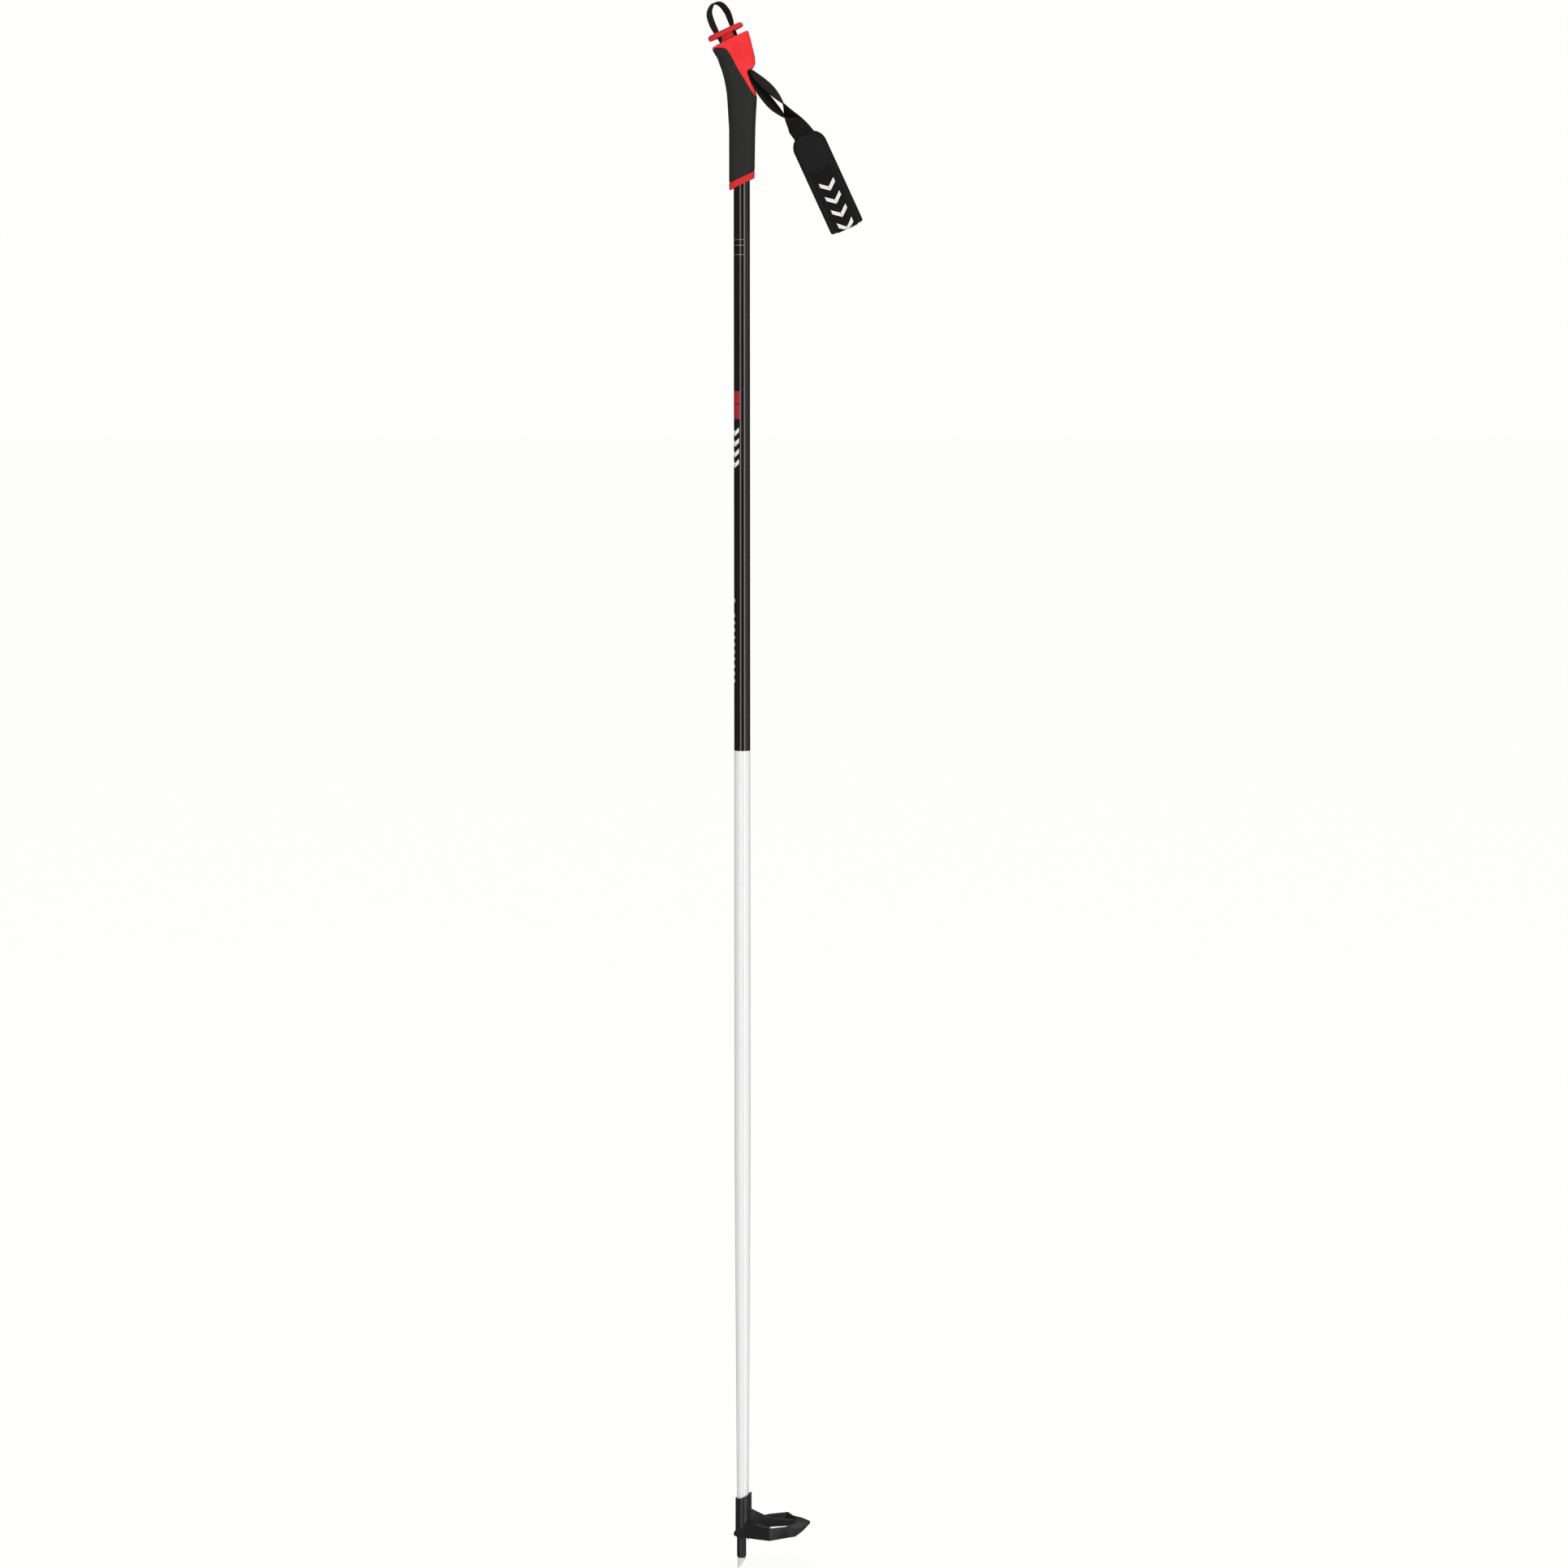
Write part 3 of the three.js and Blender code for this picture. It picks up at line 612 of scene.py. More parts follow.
class Shell:
    """Points and faces in millimetres, gathered and then made into one object."""

    WEAVE = "weave"

    def __init__(self) -> None:
        """Starts empty."""
        self.points: list[np.ndarray] = []
        self.faces: list[tuple[int, ...]] = []
        self.woven: list[np.ndarray] = []
        self.count = 0

    def add(
        self, points: np.ndarray, faces: Sequence[Sequence[int]], weave: np.ndarray | None = None
    ) -> None:
        """Adds points, and faces that number them from 0."""
        self.faces += [tuple(int(i) + self.count for i in face) for face in faces]
        self.points.append(points)
        self.woven.append(np.zeros_like(points) if weave is None else weave)
        self.count += len(points)

    def loft(self, rows: np.ndarray, weave: np.ndarray | None = None, joined: bool = False) -> "Shell":
        """Adds a skin over closed loops of points.

        Args:
            rows: Loops of the same number of points, as (loop, point, xyz).
            weave: The woven coordinates of the same points.
            joined: Whether the last loop meets the first, instead of both being capped.

        Returns:
            This shell.
        """
        rows = np.asarray(rows, float)
        loops, size, _ = rows.shape
        spans = loops if joined else loops - 1
        faces: list[Sequence[int]] = []
        for i in range(spans):
            here = i * size
            there = (i + 1) % loops * size
            for j in range(size):
                k = (j + 1) % size
                faces.append((here + j, here + k, there + k, there + j))
        if not joined:
            faces.append(range(size))
            faces.append([(loops - 1) * size + j for j in range(size)])
        flat = None if weave is None else np.asarray(weave, float).reshape(-1, 3)
        self.add(rows.reshape(-1, 3), faces, flat)
        return self

    def prism(self, outline: Sequence[Sequence[float]], half: float) -> "Shell":
        """Adds an (x, z) outline made solid from -half to half along Y."""
        flat = np.array(outline, float)
        edge = np.full(len(flat), half)
        rows = [np.stack([flat[:, 0], side * edge, flat[:, 1]], 1) for side in (-1, 1)]
        return self.loft(np.array(rows))

    def make(self, name: str, sharp: float = 35.0) -> bpy.types.Object:
        """Makes the object, in metres.

        Args:
            name: Its name.
            sharp: Edges that bend more than this many degrees stay crisp.

        Returns:
            The object, in the scene.
        """
        mesh = bpy.data.meshes.new(name)
        points = np.concatenate(self.points) * MM
        mesh.from_pydata(points.tolist(), [], self.faces)
        layer = mesh.attributes.new(self.WEAVE, "FLOAT_VECTOR", "POINT")
        layer.data.foreach_set("vector", np.concatenate(self.woven).astype(np.float32).ravel())
        work = bmesh.new()
        work.from_mesh(mesh)
        bmesh.ops.remove_doubles(work, verts=work.verts, dist=0.002 * MM)
        bmesh.ops.recalc_face_normals(work, faces=work.faces)
        work.to_mesh(mesh)
        work.free()
        made = bpy.data.objects.new(name, mesh)
        bpy.context.scene.collection.objects.link(made)
        shade(made, sharp)
        return made


def shade(made: bpy.types.Object, sharp: float) -> None:
    """Smooth shading, with edges that bend more than sharp degrees kept crisp."""
    made.data.shade_smooth()
    made.data.set_sharp_from_angle(angle=math.radians(sharp))


def settle(made: bpy.types.Object, sharp: float) -> bpy.types.Object:
    """Applies an object's modifiers to its mesh."""
    bpy.context.view_layer.update()
    graph = bpy.context.evaluated_depsgraph_get()
    mesh = bpy.data.meshes.new_from_object(
        made.evaluated_get(graph), preserve_all_data_layers=True, depsgraph=graph
    )
    made.modifiers.clear()
    made.data = mesh
    mesh.name = made.name
    shade(made, sharp)
    return made


def combined(
    made: bpy.types.Object, others: Sequence[bpy.types.Object], operation: str, sharp: float = 35.0
) -> bpy.types.Object:
    """Cuts others from an object or joins them to it, and removes them.

    Args:
        made: The object that stays.
        others: The objects that are used up.
        operation: DIFFERENCE or UNION.
        sharp: Edges that bend more than this many degrees stay crisp.

    Returns:
        The object that stays.
    """
    for other in others:
        modifier = made.modifiers.new("shape", "BOOLEAN")
        modifier.object = other
        modifier.operation = operation
        modifier.solver = "EXACT"
    settle(made, sharp)
    for other in others:
        bpy.data.objects.remove(other)
    return made


def eased_edges(
    made: bpy.types.Object, width: float, angle: float, sharp: float = 35.0
) -> bpy.types.Object:
    """Rounds an object's edges.

    Args:
        made: The object.
        width: How far each edge is cut back, in millimetres.
        angle: Edges that bend more than this many degrees are rounded.
        sharp: Edges that bend more than this many degrees afterwards stay crisp.

    Returns:
        The object.
    """
    bevel = made.modifiers.new("edges", "BEVEL")
    bevel.width = width * MM
    bevel.segments = 3
    bevel.limit_method = "ANGLE"
    bevel.angle_limit = math.radians(angle)
    return settle(made, sharp)


def dressed(
    made: bpy.types.Object, finish: Finish, body: Body | None = None, *stood_for: str
) -> bpy.types.Object:
    """Gives a piece its finish's material, and lets it ride.

    Args:
        made: The piece.
        finish: Its finish.
        body: The body it rides on, or None if it rides on none.
        stood_for: The CAD nodes that it replaces.

    Returns:
        The piece.
    """
    made.data.materials.clear()
    made.data.materials.append(finish.material())
    if stood_for:
        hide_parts(*stood_for)
    if body:
        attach(made, body.value)
    LOG.info("%s: %d faces", made.name, len(made.data.polygons))
    return made


@dataclass(frozen=True)
class Leaning:
    """A frame in the XZ plane, turned so that its own Z leans towards the front."""

    x: float
    z: float
    lean: float

    def world(self, local: np.ndarray) -> np.ndarray:
        """Points in this frame, placed in the pole's frame."""
        cos, sin = math.cos(math.radians(self.lean)), math.sin(math.radians(self.lean))
        across, side, up = local[..., 0], local[..., 1], local[..., 2]
        x = self.x + across * cos - up * sin
        z = self.z + across * sin + up * cos
        return np.stack([x, side, z], -1)


@dataclass(frozen=True)
class Strip:
    """A band on a surface, between two edges given as (across, along) points."""

    first: Sequence[Point]
    second: Sequence[Point]

    @staticmethod
    def line(start: Point, end: Point, width: float, steps: int = 6) -> "Strip":
        """A straight band of one width between two points."""
        a, b = np.array(start, float), np.array(end, float)
        along = (b - a) / np.linalg.norm(b - a)
        side = np.array([-along[1], along[0]]) * width / 2
        stations = a + (b - a) * np.linspace(0, 1, steps)[:, None]
        return Strip((stations + side).tolist(), (stations - side).tolist())

    @staticmethod
    def between(first: Sequence[Point], second: Sequence[Point], steps: int) -> "Strip":
        """A band between two straight edges, each given by its two ends."""
        rails = []
        for (x0, z0), (x1, z1) in (first, second):
            rails.append([(x0 + (x1 - x0) * t, z0 + (z1 - z0) * t) for t in np.linspace(0, 1, steps)])
        return Strip(*rails)

    @staticmethod
    def ring(centre: Point, inner: float, outer: float) -> "Strip":
        """A closed round band between two radii."""
        angles = np.radians(np.linspace(0, 360, 60))
        spokes = np.stack([np.cos(angles), np.sin(angles)], 1)
        middle = np.array(centre, float)
        return Strip((middle + spokes * outer).tolist(), (middle + spokes * inner).tolist())


def film(strips: Sequence[Strip], lay: Lay, lift: float, steps: int = 4) -> Shell:
    """Thin raised bands laid on a surface.

    Args:
        strips: The bands.
        lay: Puts (across, along) points on the surface at a height above it.
        lift: How far the bands stand proud, in millimetres.
        steps: How many spans each has across.

    Returns:
        A shell of separate bands.
    """
    shell = Shell()
    shares = np.linspace(0, 1, steps + 1)
    for strip in strips:
        first, second = np.array(strip.first, float), np.array(strip.second, float)
        flat = first[:, None] + (second - first)[:, None] * shares[None, :, None]
        closed = bool(np.allclose(first[0], first[-1]))
        if closed:
            flat = flat[:-1]
        tops = lay(flat[..., 0], flat[..., 1], lift)
        feet = lay(flat[..., 0], flat[..., 1], -lift)
        shell.loft(np.concatenate([tops, feet[:, ::-1]], 1), joined=closed)
    return shell


@dataclass(frozen=True)
class Ribbon:
    """Flat webbing along stations of (x, y, z, twist in degrees); untwisted, its width lies along Y."""

    stations: Sequence[tuple[float, float, float, float]]
    width: float = 18.6
    thickness: float = 1.4
    steps: int = 60

    def section(self) -> np.ndarray:
        """The closed outline of the webbing: (across, through), with round selvedges."""
        round_half = self.thickness / 2
        flat = np.linspace(-1, 1, 13) * (self.width / 2 - round_half)
        rib = 0.06 * np.cos(flat * (2 * math.pi / 3.1))
        over = np.stack([flat, round_half + rib], 1)
        turn = np.radians([60, 20, -20, -60])
        selvedge = np.stack([flat[-1] + round_half * np.cos(turn), round_half * np.sin(turn)], 1)
        return np.concatenate([over, selvedge, -over, -selvedge])

    def path(self, shares: np.ndarray) -> tuple[np.ndarray, np.ndarray]:
        """The middle line's points and twists at shares of the way along it."""
        table = np.array(self.stations, float)
        place = shares * (len(table) - 1)
        low = np.clip(place.astype(int), 0, len(table) - 2)
        t = (place - low)[:, None]
        padded = np.concatenate([[2 * table[0] - table[1]], table, [2 * table[-1] - table[-2]]])
        a, b, c, d = (padded[low + i] for i in range(4))
        curve = 2 * b + (c - a) * t + (2 * a - 5 * b + 4 * c - d) * t**2 + (3 * b - a - 3 * c + d) * t**3
        return curve[:, :3] / 2, curve[:, 3] / 2

    def length(self, start: float = 0.0, end: float = 1.0) -> float:
        """The length of the middle line between two shares of it."""
        points, _ = self.path(np.linspace(start, end, 200))
        return float(distances(points)[-1])

    def shell(self, start: float = 0.0, end: float = 1.0) -> Shell:
        """The webbing between two shares of its length, as a shell with woven coordinates."""
        shares = np.linspace(start, end, self.steps)
        points, twist = self.path(shares)
        before, _ = self.path(np.clip(shares - 1e-3, 0, 1))
        after, _ = self.path(np.clip(shares + 1e-3, 0, 1))
        along = after - before
        along /= np.linalg.norm(along, axis=1)[:, None]
        across = np.array([0.0, 1.0, 0.0]) - along * along[:, 1:2]
        across /= np.linalg.norm(across, axis=1)[:, None]
        outward = np.cross(along, across)
        cos, sin = np.cos(np.radians(twist))[:, None], np.sin(np.radians(twist))[:, None]
        wide = across * cos + outward * sin
        thick = outward * cos - across * sin
        outline = self.section()
        rows = points[:, None] + wide[:, None] * outline[None, :, :1]
        rows += thick[:, None] * outline[None, :, 1:]
        run = distances(points)
        weave = np.zeros_like(rows)
        weave[..., 0] = run[:, None]
        weave[..., 1] = outline[None, :, 0]
        weave[..., 2] = np.sign(outline[None, :, 1]) * 40
        return Shell().loft(rows, weave)


def stitches(lines: Sequence[np.ndarray], pitch: float, thickness: float) -> Shell:
    """Separate stitches along lines of points.

    Args:
        lines: The seams, as points in the pole's frame.
        pitch: The distance from one stitch to the next.
        thickness: The thread's thickness.

    Returns:
        A shell of small spindles.
    """
    shell = Shell()
    angles = circle(6)
    shares = np.array([0.0, 0.12, 0.35, 0.65, 0.88, 1.0])
    swell = np.array([0.25, 0.75, 1.0, 1.0, 0.75, 0.25]) * thickness / 2
    for line in lines:
        run = distances(line)
        for start in np.arange(0.3, run[-1] - 0.8 * pitch, pitch):
            at = start + shares * pitch * 0.78
            middle = np.stack([np.interp(at, run, line[:, i]) for i in range(3)], 1)
            along = middle[-1] - middle[0]
            along /= np.linalg.norm(along)
            side = np.cross(along, [0.31, 0.42, 0.85])
            side /= np.linalg.norm(side)
            other = np.cross(along, side)
            spokes = np.cos(angles)[:, None] * side + np.sin(angles)[:, None] * other
            shell.loft(middle[:, None] + swell[:, None, None] * spokes[None])
    return shell


# ---- the tube -------------------------------------------------------------------------------------
@dataclass
class Shaft:
    """The painted alloy tube and what is printed on it."""

    palette: Palette
    radius: float = 8.0
    wall: float = 1.0
    top: float = 1476.0
    paint_edge: float = 830.4
    taper_start: float = 433.0
    bottom: float = 44.0
    bottom_radius: float = 5.75
    paint_step: float = 0.04
    ink: float = 0.03
    sides: int = 96
    lines: tuple[float, ...] = (1336.1, 1330.6, 1321.5)
    reds: tuple[Point, ...] = ((1175.0, 1187.3), (1159.8, 1174.2))
    wrap: float = -17.0
    line_end: float = 2.3
    red_end: float = -2.0

    def radius_at(self, height: np.ndarray) -> np.ndarray:
        """The tube's radius at a height."""
        return np.interp(height, [self.bottom, self.taper_start], [self.bottom_radius, self.radius])

    def lay(self, across: np.ndarray, along: np.ndarray, lift: float) -> np.ndarray:
        """Points on the tube, from the distance round it from its near side and the height."""
        angle = across / self.radius
        radius = self.radius_at(along) + lift
        return np.stack([radius * np.sin(angle), -radius * np.cos(angle), along], -1)

    def tube(self, low: float, high: float, step: float) -> Shell:
        """A stretch of the tube with its bore, its paint standing a step proud."""
        heights = np.linspace(low, high, 3 + int((high - low) / 40))
        profile = [(self.radius_at(z) + step, z, 0) for z in heights]
        profile += [(self.radius_at(z) - self.wall, z, 0) for z in heights[::-1]]
        return Shell().loft(round_rows(profile, self.sides), joined=True)

    def block(self, low: float, high: float, start: float, end: float) -> Strip:
        """A printed rectangle between two heights and two distances round the tube."""
        heights = np.linspace(low, high, 6)
        return Strip([(start, z) for z in heights], [(end, z) for z in heights])

    def printed(self, name: str, strips: Sequence[Strip], finish: Finish) -> None:
        """One colour of print on the tube."""
        shell = film(strips, self.lay, self.paint_step + self.ink, 16)
        dressed(shell.make(name), finish, Body.POLE)

    def build(self) -> None:
        """Makes the tube's two colours and its prints."""
        white = self.tube(self.bottom, self.paint_edge, 0).make("tube_white")
        dressed(white, self.palette.white_lacquer, Body.POLE)
        black = self.tube(self.paint_edge, self.top, self.paint_step).make("tube_black")
        dressed(black, self.palette.black_lacquer, Body.POLE, "shaft_tube")
        rings = [self.block(z - 0.3, z + 0.3, self.wrap, self.line_end) for z in self.lines]
        self.printed("silver_lines", rings, self.palette.print_silver)
        blocks = [self.block(low, high, self.wrap, self.red_end) for low, high in self.reds]
        self.printed("red_blocks", blocks, self.palette.print_red)
        self.printed("white_arrows", self.arrows(1151.5, 4, 10.4, 4.6), self.palette.print_white)
        small = [Strip.ring((-10.6, 980.0), 1.5, 2.3)]
        small += [Strip.line((-10.6 - 1.2, z), (-10.6 + 1.2, z), 0.6) for z in (979.3, 980.7)]
        ticks = [Strip.line((-13.6, z), (-9.2, z + 1.8), 3.4) for z in np.arange(899.0, 969.0, 7.2)]
        self.printed("tick_row", small + ticks, self.palette.print_white)
        faint = [Strip.line((8.6, z), (11.4, z), 0.5) for z in np.arange(915.0, 941.5, 3.3)]
        self.printed("scale_ticks", faint, self.palette.print_silver)

    def arrows(self, top: float, count: int, pitch: float, height: float) -> list[Strip]:
        """A column of bold arrowheads that point down the tube."""
        strips = []
        drop = 4.2
        for z in top - pitch * np.arange(count):
            for start, end in ((-13.0, -8.2), (-3.0, -7.8)):
                first = [(start, z), (end, z - drop)]
                second = [(start, z - height), (end, z - drop - height)]
                strips.append(Strip.between(first, second, 6))
        return strips


# ---- the grip -------------------------------------------------------------------------------------
@dataclass
class Grip:
    """The rubber sleeve, the red core with its head, and the red end ring."""

    palette: Palette
    sections: tuple = (
        (1379.5, -12.3, 12.3, 12.0),
        (1441.7, -12.3, 13.2, 12.2),
        (1457.2, -13.1, 13.8, 12.4),
        (1470.8, -13.9, 14.6, 12.7),
        (1480.6, -14.8, 14.8, 12.9),
        (1489.3, -16.3, 14.5, 13.2),
        (1499.0, -18.7, 13.9, 13.4),
        (1507.8, -21.8, 13.6, 13.7),
        (1513.6, -23.9, 13.2, 13.7),
        (1517.5, -26.5, 12.4, 13.7),
        (1522.4, -28.8, 11.2, 13.7),
        (1531.1, -30.8, 9.1, 13.7),
        (1544.7, -32.3, 5.1, 13.3),
    )
    rubber_edge: tuple = (
        (-30.3, 1521.0),
        (-23.2, 1523.6),
        (-16.4, 1522.7),
        (-10.5, 1516.0),
        (-4.5, 1504.0),
        (2.1, 1493.8),
        (8.5, 1483.1),
        (12.8, 1476.7),
    )
    rear_cut: tuple = (
        (1470.0, 16.6),
        (1476.1, 16.2),
        (1479.2, 14.6),
        (1490.0, 8.5),
        (1499.8, 5.1),
        (1502.7, 7.6),
        (1503.3, 10.8),
        (1508.7, 14.3),
        (1546.0, 14.5),
    )
    border_within: Point = (1455.0, 1530.0)
    roundness: float = 2.6
    columns: int = 128
    ring_foot: float = 1390.2
    ring_slope: float = 0.463
    ring_height: float = 7.2
    lip: float = 0.9
    heel: float = 0.5
    proud: float = 0.22
    socket: float = 10.0
    bore: float = 8.8
    bore_top: float = 1478.0
    socket_foot: float = 1401.4
    socket_head: float = 1468.0
    core_foot: float = 1471.0
    tuck: float = 2.4
    round_edge: float = 1.2
    crown: float = 0.15
    top_at: tuple[float, float] = (11.7, 1542.7)
    top_slope: float = 0.461
    emblem: tuple[float, float] = (-1.0, 1520.2)
    emblem_radius: float = 8.7
    angles: np.ndarray = field(init=False)
    shape: Smooth = field(init=False)
    border: Smooth = field(init=False)

    def __post_init__(self) -> None:
        """Prepares the smooth outlines."""
        self.angles = circle(self.columns)
        self.shape = Smooth(self.sections)
        self.border = Smooth(self.rubber_edge)

    def skin(self, height: np.ndarray, inset: np.ndarray | float = 0.0) -> np.ndarray:
        """One loop of points round the grip, each at its own height and set in by some millimetres."""
        front, rear, half = self.shape(height).T
        x = (front + rear) / 2 + ((rear - front) / 2 - inset) * squared(np.cos(self.angles), self.roundness)
        y = (half - inset) * squared(np.sin(self.angles), self.roundness)
        return np.stack([x, y, np.broadcast_to(height, x.shape)], 1)

    def ring_edge(self, lift: float) -> np.ndarray:
        """The height, at each column, of the slanted line that is lift above the grip's foot."""
        height = np.full(self.columns, self.ring_foot + lift)
        for _ in range(4):
            height = self.ring_foot + lift + self.ring_slope * self.skin(height)[:, 0]
        return height

    def rubber_top(self) -> np.ndarray:
        """The height, at each column, where the rubber meets the red core."""
        low, high = (np.full(self.columns, height) for height in self.border_within)
        for _ in range(40):
            middle = (low + high) / 2
            above = middle > self.border(self.skin(middle)[:, 0])[:, 0]
            low, high = np.where(above, low, middle), np.where(above, middle, high)
        return (low + high) / 2

    def tubular(self, radius: float, height: np.ndarray | float) -> np.ndarray:
        """One round loop about the tube's axis, level or at one height for each column."""
        x, y = np.cos(self.angles) * radius, np.sin(self.angles) * radius
        return np.stack([x, y, np.broadcast_to(height, x.shape)], 1)

    def top_plane(self, x: np.ndarray) -> np.ndarray:
        """The height of the head's slanted top face."""
        return self.top_at[1] + self.top_slope * (x - self.top_at[0])

    def sleeve(self) -> Shell:
        """The rubber: its outside up to the border, a rolled lip, and its inside back down to the foot."""
        foot, top = self.ring_edge(self.ring_height + 0.3), self.rubber_top()
        rows = []
        near_foot = [0, 0.004, 0.01]
        near_top = 1 - np.geomspace(0.03, 1e-4, 12)
        for share in np.concatenate([near_foot, np.linspace(0.02, 0.97, 60), near_top]):
            height = foot + (top - foot) * share
            roll = rolled(top - height, self.lip)
            heel = rolled(height - foot, self.heel)
            rows.append(self.skin(height, roll + heel - self.proud))
        rows.append(self.skin(top - 0.1, 1.3))
        for share in (0.75, 0.5):
            rows.append(self.skin(np.maximum(foot + (top - foot) * share, 1474.0), 1.9))
        inside = self.socket + 0.3
        for height in (1472.0, 1405.0, foot):
            rows.append(self.tubular(inside, height))
        return Shell().loft(np.array(rows), joined=True)

    def core(self) -> Shell:
        """The red core: socket, the part that the rubber covers, the tongue and the head."""
        edge = self.rubber_top()
        heights = np.full(self.columns, 1540.0)
        for _ in range(12):
            heights = self.top_plane(self.skin(heights)[:, 0])
        cuts, limits = np.array(self.rear_cut).T
        rows = [self.tubular(0.0, self.bore_top), self.tubular(self.bore, self.bore_top)]
        rows += [self.tubular(self.bore, self.socket_foot), self.tubular(self.socket, self.socket_foot)]
        rows.append(self.tubular(self.socket, self.socket_head))
        covered = edge - self.round_edge - self.core_foot
        levels = [self.core_foot + covered * share for share in np.linspace(0, 1, 24)]
        levels += [edge - 0.8, edge - 0.4]
        levels += [edge + (heights - edge) * share for share in np.linspace(0, 1, 100)]
        for height in levels:
            under = 1 - eased(height, edge - 1.0, edge - 0.3)
            roll = rolled(heights - height, self.round_edge)
            loop = self.skin(height, self.tuck * under + roll)
            loop[:, 0] = soft_min(loop[:, 0], np.interp(height, cuts, limits), 1.3)
            rows.append(loop)
        rim = rows[-1]
        middle = np.array([-10.0, 0.0, 0.0])
        for share in (0.12, 0.3, 0.55, 0.8, 1.0):
            loop = rim + (middle - rim) * share
            loop[:, 2] = self.top_plane(loop[:, 0]) + self.crown * min(1.0, share * 4)
            rows.append(loop)
        return Shell().loft(np.array(rows))

    def end_ring(self) -> Shell:
        """The red ring at the slanted foot, with rounded edges and a lip that closes on the tube."""
        outside = ((0.0, 1.1), (0.12, 0.5), (0.5, 0.12), (1.1, 0.0), (6.3, -0.1), (6.9, 0.1), (7.2, 0.6))
        inside = ((7.2, 10.3), (1.6, 10.3), (1.2, 8.35), (0.2, 8.35))
        rows = [self.skin(self.ring_edge(lift), inset - 0.12) for lift, inset in outside]
        for lift, radius in inside:
            loop = self.tubular(radius, 0.0)
            loop[:, 2] = self.ring_foot + lift + self.ring_slope * loop[:, 0]
            rows.append(loop)
        return Shell().loft(np.array(rows), joined=True)

    def side(self, side: Side) -> Lay:
        """A rule that puts (x, z) points on one side of the head."""

        def lay(across: np.ndarray, along: np.ndarray, lift: float) -> np.ndarray:
            """The points, lifted off the side."""
            front, rear, half = (v.reshape(along.shape) for v in self.shape(along.ravel()).T)
            share = np.clip(np.abs(across - (front + rear) / 2) / ((rear - front) / 2), 0, 0.98)
            width = half * (1 - share**self.roundness) ** (1 / self.roundness)
            return np.stack([across, side.value * (width + lift), along], -1)

        return lay

    def crystal(self) -> list[Strip]:
        """A plain six-armed snow crystal inside two rings."""
        x, z = self.emblem
        radius = self.emblem_radius
        strips = [Strip.ring(self.emblem, radius - 0.9, radius)]
        strips.append(Strip.ring(self.emblem, radius - 2.0, radius - 1.6))
        for arm in range(6):
            angle = math.radians(30 + 60 * arm)
            tip = (x + 5.9 * math.cos(angle), z + 5.9 * math.sin(angle))
            strips.append(Strip.line((x, z), tip, 0.8))
            fork = (x + 3.3 * math.cos(angle), z + 3.3 * math.sin(angle))
            for turn in (-50, 50):
                twig = angle + math.radians(turn)
                end = (fork[0] + 2.2 * math.cos(twig), fork[1] + 2.2 * math.sin(twig))
                strips.append(Strip.line(fork, end, 0.6))
        return strips

    def build(self, channel: bpy.types.Object) -> None:
        """Makes the grip's pieces.

        Args:
            channel: The shape of the webbing's way through the head, which is used up.
        """
        core = combined(self.core().make("core_and_head", 50), [channel], "DIFFERENCE", 50)
        dressed(core, self.palette.red, Body.POLE, "grip_core")
        dressed(self.sleeve().make("rubber_sleeve", 60), self.palette.rubber, Body.POLE, "grip_sleeve")
        # The end ring takes the red with painted shade, darker than the head's red.
        dressed(self.end_ring().make("end_ring", 60), self.palette.red_painted_shade, Body.POLE, "grip_end_ring")
        for side in Side:
            relief = film(self.crystal(), self.side(side), 0.28).make(f"crystal_{side.name.lower()}")
            dressed(relief, self.palette.red, Body.POLE)


